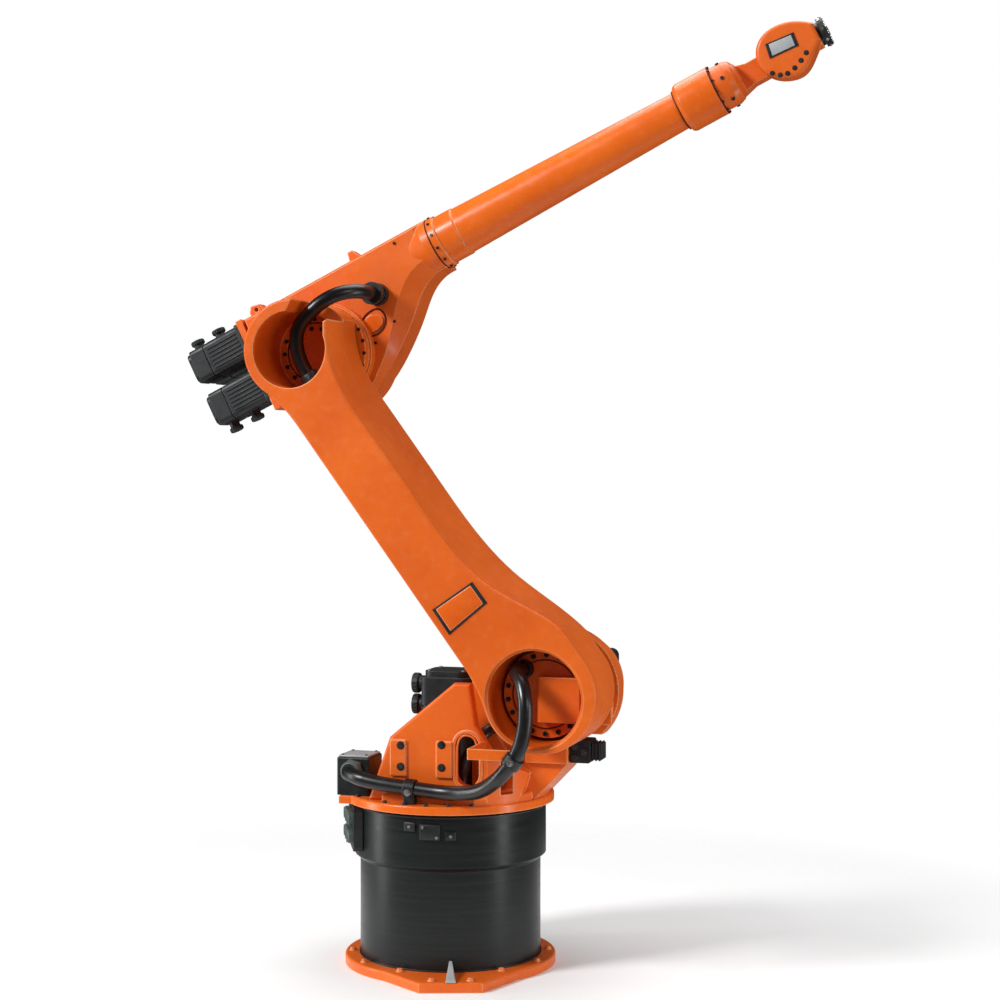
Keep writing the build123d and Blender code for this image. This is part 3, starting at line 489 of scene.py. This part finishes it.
def tube(shape, line, radius, count=24):
    """Tube of a radius along a line of points, closed at both ends."""
    runs = [(b - a).normalized() for a, b in zip(line, line[1:])]
    tangents = [runs[0]] + [(a + b).normalized() for a, b in zip(runs, runs[1:])] + [runs[-1]]
    side = tangents[0].orthogonal().normalized()
    rings = []
    for point, tangent in zip(line, tangents):
        side = (side - tangent * side.dot(tangent)).normalized()
        rings.append(ring(shape, place_at(point, tangent, side), radius, 0, count))
    start = [shape.verts.new(line[0])]
    end = [shape.verts.new(line[-1])]
    join_rings(shape, [start] + rings + [end], count)


def bands(name, body, places, radius, width, material, thick=3.0):
    """Thin rings round round things, such as gaskets and joint lines."""
    shape = bmesh.new()
    for place in places:
        inner = radius - thick
        rise = width / 2
        profile = [(inner, -rise), (radius, -rise), (radius, rise), (inner, rise), (inner, -rise)]
        lathe(shape, place, profile, count=64)
    return piece(name, shape, body, material)


# Frames on faces of the part


def spots(face, points):
    """Places on a face, from its local X and Y."""
    return [face @ Matrix.Translation((x, y, 0)) for x, y in points]


def link_face(y):
    """Frame on a level side of the link arm: local X towards the third axis, local Y to its back."""
    return place_at(link_point(0, 0, y), NEAR, LINK_DIR)


def arm_face(y):
    """Frame on a level side of the forearm: local X towards the wrist, local Y up."""
    return place_at(arm_point(0, 0, y), NEAR, FOREARM_DIR)


def side_face(y):
    """Frame on a level side of the base and column: local X forward, local Y up."""
    return place_at((0, y, 0), NEAR, heading(0))


def round_drum(angle, height, radius):
    """Frame on the drum's wall: local Z out of it, local Y up."""
    out = heading(0) * math.cos(math.radians(angle)) + Vector((0, math.sin(math.radians(angle)), 0))
    return place_at(out * radius + UP * height, out, UP.cross(out))


def round_tube(along, radius, angle):
    """Frame on a round part of the forearm: local Z out of it, angle from the near side upwards."""
    turn = math.radians(angle)
    out = NEAR * math.cos(turn) + FOREARM_UP * math.sin(turn)
    return place_at(arm_point(along, FOREARM_RISE, 0) + out * radius, out, FOREARM_DIR)


def tube_frame(along):
    """Frame across the forearm's tube, local Z towards the wrist."""
    return place_at(arm_point(along, FOREARM_RISE, 0), FOREARM_DIR, FOREARM_UP)


def near_axis3(x, y, z):
    """Point by its offset from the third axis, forward and up, with a given Y."""
    return Vector((AXIS3.x + x, y, AXIS3.z + z))


def corners(node):
    """Low and high corner of a node's box, in millimetres."""
    return [Vector(corner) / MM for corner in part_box(node)]


def near_y(node):
    """Y of a node's side that faces the link arm's side."""
    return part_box(node)[0][1] / MM


# Base: bolts, the pointer on its tab, joint lines, covers and the sockets of its panel

BASE_BOLT_R = 8
BASE_BOLT_H = 9
BASE_BOLT_CIRCLE_R = 286
BASE_BOLT_COUNT = 12
TAB_BOLT_REACH = 352
TAB_BOLT_SIDE = 54
# Reach, half width and height of the pointer's corners
POINTER = ((268, 5, 0), (268, 4, 34), (290, 4, 34), (376, 15, 0), (376, 11, 8))
# Name, height, radius, width and thickness of the drum's joint lines
DRUM_SEAMS = (
    ("drum_foot_seam", BASE_T + 2, DRUM_R + 3, 5, 6),
    ("drum_band_seam", DRUM_TOP - 6, DRUM_BAND_R + 2, 4, 5),
)
# Angle, height, width and rise of the drum's covers
DRUM_COVERS = ((-96, 437, 34, 26), (-84, 424, 58, 44), (-72, 414, 30, 24))
DRUM_COVER_T = 14
# Angle and height of their screws
DRUM_COVER_SCREWS = ((-88, 438), (-80, 410), (-96, 437), (-72, 414))
PANEL_SOCKETS_ACROSS = (-52, 0, 52)
PANEL_SOCKETS_UP = (-26, 26)
PANEL_SOCKETS_OUT = 4
PANEL_SOCKET = ((0, 0), (19, 0), (19, 22), (16, 24), (16, 27), (12, 27), (12, 20), (0, 20))


def base_details():
    """Bolts of the foot and its tab, the pointer on the tab and the drum's joint lines."""
    front_turn = BASE_TURN - 90
    turns = every(BASE_BOLT_COUNT, front_turn)
    base_bolts("base_ring_bolts", ring_places((0, 0, BASE_T), UP, BASE_BOLT_CIRCLE_R, turns, (1, 0, 0)))
    front = place_at((0, 0, BASE_T), UP, heading(0)) @ Matrix.Rotation(math.radians(front_turn), 4, "Z")
    base_bolts("base_tab_bolts", spots(front, [(TAB_BOLT_REACH, side * TAB_BOLT_SIDE) for side in (-1, 1)]))
    wedge = [(reach, side * half, height) for reach, half, height in POINTER for side in (-1, 1)]
    one("base_pointer", "base", LID, lambda shape: hull(shape, front, wedge))
    for name, height, radius, width, thick in DRUM_SEAMS:
        bands(name, "base", [place_at((0, 0, height), UP)], radius, width, PLASTIC, thick)


def base_bolts(name, places):
    fasteners(
        name, "base", places, radius=BASE_BOLT_R, height=BASE_BOLT_H,
        head=hex_bolt, material=ORANGE_MACHINED,
    )


def drum_covers(shape):
    for angle, height, width, rise in DRUM_COVERS:
        block(shape, round_drum(angle, height, DRUM_BAND_R), (width, rise, DRUM_COVER_T), round_by=3)


def drum_details():
    """Small covers on the drum's band, with their screws, and the sockets of the connector panel."""
    one("drum_covers", "base", PLASTIC, drum_covers)
    cover_face_r = DRUM_BAND_R + DRUM_COVER_T / 2
    holds = [round_drum(angle, height, cover_face_r) for angle, height in DRUM_COVER_SCREWS]
    fasteners("drum_cover_screws", "base", holds, radius=4.5, height=3, material=STEEL)
    low, high = corners("connector_panel")
    middle = (low + high) / 2
    out = Vector((middle.x, middle.y, 0)).normalized()
    side = UP.cross(out)

    def sockets(shape):
        for across in PANEL_SOCKETS_ACROSS:
            for rise in PANEL_SOCKETS_UP:
                at = place_at(middle + out * PANEL_SOCKETS_OUT + side * across + UP * rise, out, UP)
                lathe(shape, at, PANEL_SOCKET, count=24)

    one("panel_sockets", "base", GREY, sockets)


# Column: screws, the window's rim, the cable box, hose clamps and the end stop

PAD_T = 8
PAD_FACE = COLUMN_NEAR - PAD_T
# X and Z of the pads' screws
PAD_SCREWS = ((-71, 658), (-71, 598), (51, 664), (51, 600))
TURNTABLE_SCREW_CIRCLE_R = 292
TURNTABLE_SCREW_COUNT = 28
# The turntable's screws are left out where the ear hangs over them
EAR_OVER_X = (-200, 470)
EAR_OVER_Y = 246
GEAR2_SCREW_CIRCLE_R = 118
GEAR2_SCREW_COUNT = 20
HUB2_SCREW_CIRCLE_R = 110
HUB2_SCREW_COUNT = 18
HUB2_SEAM_R = 97
SEAM_W = 3
# The hub's screws are left out under its cover
HUB2_COVER_BACK = 325
HUB2_COVER_Z = (730, 880)
# X and Z along the window's rim, up its back edge and down its front edge
WINDOW_RIM = ((94, 560), (93, 630), (97, 676), (112, 694), (138, 692), (153, 676), (158, 630))
WINDOW_RIM_R = 3.2
# Radius and height along a gland; its nut is the two rows that are hexagons
GLAND_NUT = (1, 2)
BOX_GLAND = ((22, 0), (33, 0), (33, 14), (29, 18), (29, 26), (24, 32), (22, 32), (22, 0))
BOX_LID_INSET = 5
BOX_LID_T = 6
BOX_LID_UP = 2
BOX_SCREW_INSET = 14
BUFFER_RIBS_BACK = (6, 16, 26)
BUFFER_RIB_T = 5
BUFFER_NOSE_SHARE = 0.7
BUFFER_RIB_RISE = 3.5
BUFFER_BOLTS_BACK = 18
BUFFER_BOLTS_UP = 15
BUFFER_BOLT_FRONT = 44


def window_rim(shape):
    """Bright rolled edge of the column's window, which the hose passes."""
    face = side_face(COLUMN_NEAR - 1)
    rim = [face @ Vector((x, z, 0)) for x, z in WINDOW_RIM]
    tube(shape, smooth_line(rim), WINDOW_RIM_R, count=12)


def column_details():
    """Screws of the pads, turntable, gear and hub cap, the window's rim and the cap's joint line."""
    heads = [place_at((x, PAD_FACE, z), NEAR) for x, z in PAD_SCREWS]
    fasteners("pad_screws", "column", heads, radius=8, height=5, head=hex_bolt)
    turns = every(TURNTABLE_SCREW_COUNT, start=4)
    ring_at = ring_places((0, 0, COLUMN_Z), UP, TURNTABLE_SCREW_CIRCLE_R, turns, (1, 0, 0))
    back, front = EAR_OVER_X
    ring_at = [
        p for p in ring_at
        if not back < p.translation.x < front or abs(p.translation.y) > EAR_OVER_Y
    ]
    fasteners("turntable_screws", "column", ring_at, radius=7, height=6)
    gear_at = (AXIS2.x, LINK_FAR + GEAR2_T, AXIS2.z)
    gear = ring_places(gear_at, NEAR, GEAR2_SCREW_CIRCLE_R, every(GEAR2_SCREW_COUNT, start=9))
    fasteners("gear_two_screws", "link_arm", gear, radius=6, height=3)
    cap_at = (AXIS2.x, HUB_CAP_FACE, AXIS2.z)
    cap = ring_places(cap_at, NEAR, HUB2_SCREW_CIRCLE_R, every(HUB2_SCREW_COUNT, start=4))
    low, high = HUB2_COVER_Z
    cap = [p for p in cap if p.translation.x < HUB2_COVER_BACK or not low < p.translation.z < high]
    fasteners("hub_cap_screws", "column", cap, radius=7, height=7)
    one("window_rim", "column", ORANGE_MACHINED, window_rim, sharp=60)
    seam = place_at((AXIS2.x, HUB_CAP_FACE - 1, AXIS2.z), NEAR)
    bands("hub_cap_seam", "column", [seam], HUB2_SEAM_R, SEAM_W, GASKET)


def box_details():
    """Lid, hose gland and lid screws of the cable box."""
    low, high = corners("cable_box")
    middle = (low + high) / 2
    lid_at = Matrix.Translation((middle.x, middle.y, high.z + BOX_LID_UP))
    lid_size = (high.x - low.x - 2 * BOX_LID_INSET, high.y - low.y - 2 * BOX_LID_INSET, BOX_LID_T)
    gland_at = place_at(HOSE_EXIT, NEAR)

    def lid(shape):
        block(shape, lid_at, lid_size, round_by=2)

    def gland(shape):
        lathe(shape, gland_at, BOX_GLAND, count=24, hexed=GLAND_NUT)

    one("cable_box_lid", "column", LID, lid)
    one("cable_box_gland", "column", GREY, gland)
    sides_x = (low.x + BOX_SCREW_INSET, high.x - BOX_SCREW_INSET)
    sides_y = (low.y + BOX_SCREW_INSET, high.y - BOX_SCREW_INSET)
    top = high.z + BOX_LID_UP + BOX_LID_T / 2
    tops = [Matrix.Translation((x, y, top)) for x in sides_x for y in sides_y]
    fasteners("cable_box_screws", "column", tops, radius=4, height=2.5)


def clamp_details():
    """One bolt on each hose clamp."""
    for name in ("front_clamp", "rear_clamp"):
        low, high = corners(name)
        at = place_at(((low.x + high.x) / 2, low.y + 1, (low.z + high.z) / 2), NEAR)
        fasteners(name + "_bolt", "column", [at], radius=7, height=8, head=hex_bolt, material=STEEL)


def buffer_details():
    """Ribs round the nose of the rubber end stop, and the bolts that hold its block."""
    low, high = corners("stop_buffer")
    middle = (low + high) / 2
    size = high - low
    rib_width = BUFFER_NOSE_SHARE * size.y + 2 * BUFFER_RIB_RISE
    rib_height = BUFFER_NOSE_SHARE * size.z + 2 * BUFFER_RIB_RISE

    def ribs(shape):
        for back in BUFFER_RIBS_BACK:
            at = Matrix.Translation((high.x - back, middle.y, middle.z))
            block(shape, at, (BUFFER_RIB_T, rib_width, rib_height), round_by=2)

    one("buffer_ribs", "column", RUBBER, ribs)
    back = low.x + BUFFER_BOLTS_BACK
    holds = [(back, middle.z - BUFFER_BOLTS_UP), (back, middle.z + BUFFER_BOLTS_UP)]
    holds.append((low.x + BUFFER_BOLT_FRONT, middle.z))
    fasteners("buffer_bolts", "column", spots(side_face(low.y), holds), radius=8, height=8, head=hex_bolt)


# Motors. Sizes named share are shares of the motor's side, and places along it of its length.

MOTOR_RIB_START_SHARE = 0.13
MOTOR_RIB_END_SHARE = 0.67
MOTOR_RIB_SHARES = (-0.3, -0.18, -0.06, 0.06, 0.18, 0.3)
MOTOR_RIB_T_SHARE = 0.045
MOTOR_RIB_RISE = 5
MOTOR_SOCKET_HALF_SHARE = 0.2
MOTOR_SOCKET_SHARES = (0.45, 0.88)
MOTOR1_SOCKET_SHARES = (0.72, 0.92)
MOTOR_NUT_R_SHARE = 0.19
MOTOR_NUT_OUT_SHARE = 0.22
MOTOR_NUT_L_SHARE = 0.1
MOTOR_NUT_TEETH = 18
MOTOR_NUT_TOOTH = (3, 3.4)
MOTOR_CAP_SHARE = 0.12
MOTOR_SCREW_SHARE = 0.34
MOTOR_SCREW_R_SHARE = 0.04


def motor_ribs(shape, socket_side, side, length):
    """Cooling ribs on the four sides, left out between the sockets."""
    low, high = side * MOTOR_RIB_START_SHARE, length * MOTOR_RIB_END_SHARE
    for quarter in range(4):
        out = socket_side @ Matrix.Rotation(math.pi / 2 * quarter, 4, "Z")
        for share in MOTOR_RIB_SHARES:
            if quarter == 0 and abs(share) < MOTOR_SOCKET_HALF_SHARE:
                continue
            at = out @ Matrix.Translation((side / 2, side * share, (low + high) / 2))
            size = (MOTOR_RIB_RISE, side * MOTOR_RIB_T_SHARE, high - low)
            block(shape, at, size, round_by=1.2, segments=2)


def motor_nuts(shape, socket_side, side, length, shares):
    """Gripping teeth round the coupling nut of each socket."""
    for share in shares:
        socket = socket_side @ Matrix.Translation((side / 2, 0, length * share))
        socket = socket @ Matrix.Rotation(math.pi / 2, 4, "Y")
        for step in every(MOTOR_NUT_TEETH):
            tooth = turned(socket, step, side * MOTOR_NUT_R_SHARE, side * MOTOR_NUT_OUT_SHARE)
            block(shape, tooth, (*MOTOR_NUT_TOOTH, side * MOTOR_NUT_L_SHARE), round_by=0.8, segments=1)


def motor_details(name, body, frame_at, side, length, turn, shares=MOTOR_SOCKET_SHARES):
    """Ribs, coupling nuts and tie screws of one motor, whose frame points from its foot to its cap."""
    socket_side = frame_at @ Matrix.Rotation(math.radians(turn), 4, "Z")

    def ribs(shape):
        motor_ribs(shape, socket_side, side, length)
        motor_nuts(shape, socket_side, side, length, shares)

    one(name + "_ribs", body, MOTOR, ribs)
    cap = frame_at @ Matrix.Translation((0, 0, length + side * MOTOR_CAP_SHARE))
    reach = (-MOTOR_SCREW_SHARE, MOTOR_SCREW_SHARE)
    holds = spots(cap, [(x * side, y * side) for x in reach for y in reach])
    fasteners(name + "_screws", body, holds, radius=side * MOTOR_SCREW_R_SHARE, height=3, material=STEEL)


def motors():
    one_at = Matrix.Translation((MOTOR1_X, 0, MOTOR1_FLOOR))
    motor_details("a1_motor", "column", one_at, MOTOR1_SIDE, MOTOR1_L, 180, MOTOR1_SOCKET_SHARES)
    two_at = place_at((AXIS2.x, EAR_HALF, AXIS2.z), -NEAR, heading(0))
    motor_details("a2_motor", "column", two_at, MOTOR2_SIDE, MOTOR2_L, 90)
    three_at = place_at(arm_point(0, 0, HOUSING_FAR), -NEAR, FOREARM_DIR)
    motor_details("a3_motor", "forearm", three_at, MOTOR3_SIDE, MOTOR3_L, 180)
    for name, rise, turn in WRIST_MOTORS:
        low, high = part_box(name)
        foot = arm_point(HOUSING_REAR - MOTOR_PLATE_T, rise, (low[1] + high[1]) / 2 / MM)
        at = place_at(foot, -FOREARM_DIR, -NEAR)
        motor_details(name, "forearm", at, WRIST_MOTOR_SIDE, WRIST_MOTOR_L, turn)


# Link arm: its bare plate and what shows in its upper eye

# Corners of the plate, along the link arm and towards its back
LINK_PLATE = ((359, -49), (364, 91), (280, 92), (288, -50))
LINK_PLATE_INNER = 0.86
PLATE_T = 3.0
PLATE_BORDER_T = 2.2
RIVET_UP = 2
UPPER_EYE_SCREW_CIRCLE_R = 97
UPPER_EYE_SCREW_COUNT = 16
UPPER_EYE_SEAM_R = 88
HUB3_SCREW_CIRCLE_R = 70
HUB3_SCREW_COUNT = 14


def framed_plate(name, body, face, outline, border, fill):
    """Bare plate with a dark raised border and four rivets; border is the share that the plate fills."""
    middle = sum((Vector(p) for p in outline), Vector((0, 0))) / len(outline)
    inner = [middle + (Vector(p) - middle) * border for p in outline]
    rivets = [middle + (Vector(p) - middle) * (1 + border) / 2 for p in outline]

    def frame_shape(shape):
        prism(shape, face, outline, PLATE_BORDER_T, round_by=0.6)

    def plate_shape(shape):
        prism(shape, face, inner, PLATE_T, round_by=0.5)

    one(name + "_border", body, RUBBER, frame_shape)
    one(name, body, fill, plate_shape)
    heads = [place @ Matrix.Translation((0, 0, RIVET_UP)) for place in spots(face, rivets)]
    fasteners(name + "_rivets", body, heads, radius=2.4, height=1.6)


def link_details():
    """The bare plate, and the screws and joint line that show inside the upper eye."""
    framed_plate(
        "link_plate", "link_arm", link_face(LINK_NEAR), LINK_PLATE, LINK_PLATE_INNER, ORANGE_MACHINED,
    )
    eye_at = link_point(LINK_LENGTH, 0, LINK_FLOOR)
    turns = every(UPPER_EYE_SCREW_COUNT, start=11)
    floor = ring_places(eye_at, NEAR, UPPER_EYE_SCREW_CIRCLE_R, turns, LINK_DIR)
    fasteners("upper_eye_screws", "link_arm", floor, radius=6, height=6)
    hub_at = link_point(LINK_LENGTH, 0, near_y("a3_hub"))
    hub = ring_places(hub_at, NEAR, HUB3_SCREW_CIRCLE_R, every(HUB3_SCREW_COUNT), LINK_DIR)
    fasteners("hub_three_screws", "forearm", hub, radius=6, height=5)
    seam = place_at(link_point(LINK_LENGTH, 0, LINK_FLOOR - 1), NEAR)
    bands("upper_eye_seam", "link_arm", [seam], UPPER_EYE_SEAM_R, SEAM_W, GASKET)


# Forearm: the upper hose, the housing's cable opening and cover, and the joints of its tube

# Offset of the hose's points from the third axis, forward and up, and their Y
UPPER_ROUTE = (
    (24, -236, -88),
    (6, -240, -64),
    (-14, -248, -20),
    (-20, -258, 28),
    (-9, -262, 72),
    (24, -262, 108),
    (62, -254, 142),
    (104, -237, 164),
    (140, -208, 172),
    (160, -168, 172),
    (160, -122, 172),
)
UPPER_GLAND_Y = -232
UPPER_GLAND = ((0, -14), (30, -14), (30, 6), (27, 9), (27, 22), (24, 28), (0, 28))
# Corners that steer the lip of the cable opening, along the forearm and up
CABLE_OPENING = ((132, -13), (126, 20), (150, 48), (196, 54), (214, 28), (204, -6), (168, -22))
CABLE_OPENING_LIP_R = 2.6
COVER_MIDDLE = (168, 16)
COVER_HALF = (34, 24)
COVER_CORNERS = 28
COVER_T = 7
HOUSING_SCREWS = ((128, 62), (222, 60), (230, -10), (150, -40), (330, 196), (404, 120))
GEAR3_SCREW_CIRCLE_R = 138
GEAR3_SCREW_COUNT = 24
TUBE_FLANGE_S = 434
TUBE_FLANGE_T = 24
TUBE_FLANGE_R = 79
TUBE_SCREW_COUNT = 12
COLLAR_END_S = 1363
COLLAR_SCREW_CIRCLE_R = 69.2
# Name, place along the forearm, radius, width and thickness of the tube's joint lines
TUBE_SEAMS = (
    ("tube_flange_seam", TUBE_FLANGE_S + 0.5, TUBE_FLANGE_R + 1.5, 3.5, 3),
    ("tube_end_seam", 1244, 60, 4, 8),
)
COLLAR_SEAM = ("collar_seam", COLLAR_END_S - 2, 73.8, 3, 4)
ROLL_SCREWS_S = 1392
ROLL_R = 65
ROLL_SCREW_ANGLES = (8, -52, 68, 128, 188, 248)


def hose_gland(shape):
    first, second = (near_axis3(*point) for point in UPPER_ROUTE[:2])
    foot = near_axis3(UPPER_ROUTE[0][0], UPPER_GLAND_Y, UPPER_ROUTE[0][2])
    lathe(shape, place_at(foot, second - first), UPPER_GLAND, count=24, hexed=GLAND_NUT)


def upper_hose():
    """Smooth hose in place of the part's own, between the link arm and the forearm."""
    line = smooth_line([near_axis3(*point) for point in UPPER_ROUTE], 12)

    def build(shape):
        tube(shape, line, HOSE_R, count=28)

    made = one("upper_hose_smooth", None, HOSE, build, sharp=60)
    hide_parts("upper_hose")
    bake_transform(made)


def smooth_loop(points, per_corner=8):
    """Closed smooth curve through the middles between the given points."""
    following = points[1:] + points[:1]
    middles = [(a + b) / 2 for a, b in zip(points, following)]
    line = []
    for first, corner, last in zip(middles, following, middles[1:] + middles[:1]):
        for step in range(per_corner):
            share = step / per_corner
            line.append(first * (1 - share) ** 2 + corner * 2 * share * (1 - share) + last * share**2)
    return line + [line[0].copy()]


def cable_opening(shape):
    """Raised lip of the oval cable opening in the housing's near wall."""
    face = arm_face(HOUSING_NEAR)
    line = smooth_loop([face @ Vector((x, y, 1)) for x, y in CABLE_OPENING])
    tube(shape, line, CABLE_OPENING_LIP_R, count=12)


def housing_cover(shape):
    """Oval cover inside the lip."""
    turns = [math.radians(angle) for angle in every(COVER_CORNERS)]
    middle_x, middle_y = COVER_MIDDLE
    half_x, half_y = COVER_HALF
    outline = [(middle_x + half_x * math.cos(a), middle_y + half_y * math.sin(a)) for a in turns]
    prism(shape, arm_face(HOUSING_NEAR), outline, COVER_T, round_by=2.5)


def tube_seam(name, along, radius, width, thick):
    bands(name, "forearm", [tube_frame(along)], radius, width, GASKET, thick)


def forearm_details():
    """Hose and gland, cable opening and cover, screws, and the joint lines of the tube."""
    upper_hose()
    one("upper_hose_gland", "link_arm", PLASTIC, hose_gland)
    gear_at = arm_point(0, 0, LINK_FAR + RUN_GAP)
    turns = every(GEAR3_SCREW_COUNT, start=3)
    gear = ring_places(gear_at, NEAR, GEAR3_SCREW_CIRCLE_R, turns, FOREARM_DIR)
    fasteners("gear_three_screws", "forearm", gear, radius=5.5, height=2)
    one("housing_lip", "forearm", GASKET, cable_opening, sharp=60)
    one("housing_cover", "forearm", ORANGE_MACHINED, housing_cover)
    housing = spots(arm_face(HOUSING_NEAR), HOUSING_SCREWS)
    fasteners("housing_screws", "forearm", housing, radius=4.5, height=4)
    turns = every(TUBE_SCREW_COUNT, start=10)
    flange = [round_tube(TUBE_FLANGE_S + TUBE_FLANGE_T / 2, TUBE_FLANGE_R, angle) for angle in turns]
    fasteners("tube_flange_screws", "forearm", flange, radius=4.5, height=3.5)
    for seam in TUBE_SEAMS:
        tube_seam(*seam)
    collar_end = tube_frame(COLLAR_END_S)
    turns = every(TUBE_SCREW_COUNT, start=15)
    collar = [turned(collar_end, angle, COLLAR_SCREW_CIRCLE_R) for angle in turns]
    fasteners("collar_screws", "forearm", collar, radius=3.4, height=4)
    tube_seam(*COLLAR_SEAM)
    roll = [round_tube(ROLL_SCREWS_S, ROLL_R, angle) for angle in ROLL_SCREW_ANGLES]
    fasteners("roll_screws", "wrist_roll", roll, radius=5.5, height=4)


# Wrist: the head's bare plate and screws, and the tool flange

# Corners of the plate, along the forearm from the third axis and up
HEAD_PLATE = ((1538, 180), (1532, 137), (1618, 131), (1621, 171))
HEAD_PLATE_INNER = 0.78
HEAD_SCREWS = ((1520, 98), (1537, 83), (1557, 77), (1581, 81), (1605, 91), (1627, 103))
FLANGE_SCREW_CIRCLE_R = 35
FLANGE_EDGE_R = 41.5
FLANGE_EDGE_BACK = 9
FLANGE_COUNT = 8
FLANGE_RING = ((11, -2), (16, -2), (16, 3), (15, 4), (12, 4), (11, 3), (11, -2))


def wrist_details():
    face = arm_face(HEAD_NEAR)
    framed_plate("head_plate", "wrist_pitch", face, HEAD_PLATE, HEAD_PLATE_INNER, LID)
    fasteners("head_screws", "wrist_pitch", spots(face, HEAD_SCREWS), radius=5, height=4, head=hex_bolt)


def tool_details():
    """Screws and a bright centring ring on the flange, which is square to the forearm at rest."""
    face = place_at(AXIS5 + FOREARM_DIR * WRIST_TO_FLANGE, FOREARM_DIR, FOREARM_UP)
    holds = [turned(face, angle, FLANGE_SCREW_CIRCLE_R) for angle in every(FLANGE_COUNT, start=22)]
    fasteners("tool_flange_screws", "tool", holds, radius=3.4, height=3, material=STEEL)
    one("tool_flange_ring", "tool", STEEL, lambda shape: lathe(shape, face, FLANGE_RING, count=48))
    rim = [turned(face, angle, FLANGE_EDGE_R, -FLANGE_EDGE_BACK) for angle in every(FLANGE_COUNT)]
    rim = [place @ Matrix.Rotation(math.pi / 2, 4, "Y") for place in rim]
    fasteners("tool_flange_pins", "tool", rim, radius=4, height=3, material=STEEL)


def all_details():
    base_details()
    drum_details()
    column_details()
    box_details()
    clamp_details()
    buffer_details()
    motors()
    link_details()
    forearm_details()
    wrist_details()
    tool_details()


# Camera, floor and light, in metres

SENSOR_MM = 36
LENS_MM = 72.07
LENS_SHIFT = (0.0028, -0.0451)
CAMERA_PLACE = (1.820, -5.594, 1.487)
CAMERA_TILT = 89.94
CAMERA_TURN = 16.69
ARM_MIDDLE = (0.2, 0, 1.3)
DRUM_MIDDLE = (0, 0, 0.3)
# Name, place, what it points at, width, height and power
LIGHTS = (
    ("key", (-5.2, -5.6, 6.0), ARM_MIDDLE, 2.0, 2.0, 700),
    ("fill_right", (4.6, -3.4, 3.2), ARM_MIDDLE, 1.6, 1.6, 42),
    ("strip_left", (-3.0, -0.9, 0.7), DRUM_MIDDLE, 0.45, 2.0, 34),
    ("strip_right", (3.0, -0.5, 0.7), DRUM_MIDDLE, 0.4, 1.8, 28),
    ("top", (0.3, 0.6, 4.4), ARM_MIDDLE, 2.4, 2.4, 70),
)
# How bright the world is as light, in reflections and to the camera
WORLD_LIGHT = 0.30
WORLD_GLOSS = 0.05
WORLD_SEEN = 1.0
FLOOR_FADE_START = 0.9
FLOOR_FADE_END = 2.3
FLOOR_RINGS_MM = (0, 700, 1500, 2600)


def make_camera():
    data = bpy.data.cameras.new("camera")
    data.sensor_width = SENSOR_MM
    data.lens = LENS_MM
    data.shift_x, data.shift_y = LENS_SHIFT
    camera = bpy.data.objects.new("camera", data)
    camera.location = CAMERA_PLACE
    camera.rotation_euler = (math.radians(CAMERA_TILT), 0, math.radians(CAMERA_TURN))
    bpy.context.scene.collection.objects.link(camera)
    bpy.context.scene.camera = camera


def area_light(name, place, target, width, height, power):
    data = bpy.data.lights.new(name, "AREA")
    data.shape = "RECTANGLE"
    data.size = width
    data.size_y = height
    data.energy = power
    lamp = bpy.data.objects.new(name, data)
    lamp.location = place
    lamp.rotation_euler = (Vector(target) - Vector(place)).to_track_quat("-Z", "Y").to_euler()
    bpy.context.scene.collection.objects.link(lamp)


def make_lights():
    for row in LIGHTS:
        area_light(*row)


def make_world():
    """White behind the object, and softer light on it and in its reflections."""
    world = bpy.data.worlds.new("studio")
    bpy.context.scene.world = world
    world.use_nodes = True
    tree = world.node_tree
    tree.nodes.clear()
    path = tree.nodes.new("ShaderNodeLightPath")
    out = tree.nodes.new("ShaderNodeOutputWorld")

    def plain(level):
        shade = tree.nodes.new("ShaderNodeBackground")
        shade.inputs["Color"].default_value = (level, level, level, 1)
        return shade

    def chosen(ray, otherwise, where):
        """The second shade where the ray is of that kind, and the first one elsewhere."""
        made = tree.nodes.new("ShaderNodeMixShader")
        tree.links.new(path.outputs[ray], made.inputs[0])
        tree.links.new(otherwise.outputs[0], made.inputs[1])
        tree.links.new(where.outputs[0], made.inputs[2])
        return made

    lit = chosen("Is Glossy Ray", plain(WORLD_LIGHT), plain(WORLD_GLOSS))
    seen = chosen("Is Camera Ray", lit, plain(WORLD_SEEN))
    tree.links.new(seen.outputs[0], out.inputs["Surface"])


def floor_material():
    """Pale floor that fades out round the object, so that no horizon shows."""
    s = Shader("floor_pale")
    s.material.surface_render_method = "BLENDED"
    colour = s.mix(s.span(s.noise(1.5), 0.3, 0.7, 0.0, 1.0), (0.93, 0.93, 0.93), (0.96, 0.96, 0.96))
    s.principled(Base_Color=colour, Roughness=0.9, Specular_IOR_Level=0.1)
    reach = s.node("VectorMath", operation="LENGTH")
    s.tree.links.new(s.place, reach.inputs[0])
    s.principled(Alpha=s.span(reach.outputs["Value"], FLOOR_FADE_START, FLOOR_FADE_END, 1.0, 0.0))
    return s.material


def make_floor():
    shape = bmesh.new()
    lathe(shape, Matrix.Identity(4), [(radius, 0) for radius in FLOOR_RINGS_MM], count=96)
    floor = linked_object("floor", shape, floor_material())


bpy.context.scene.view_settings.view_transform = "Standard"
make_camera()
make_lights()
make_world()
make_floor()
dress_nodes()
all_details()
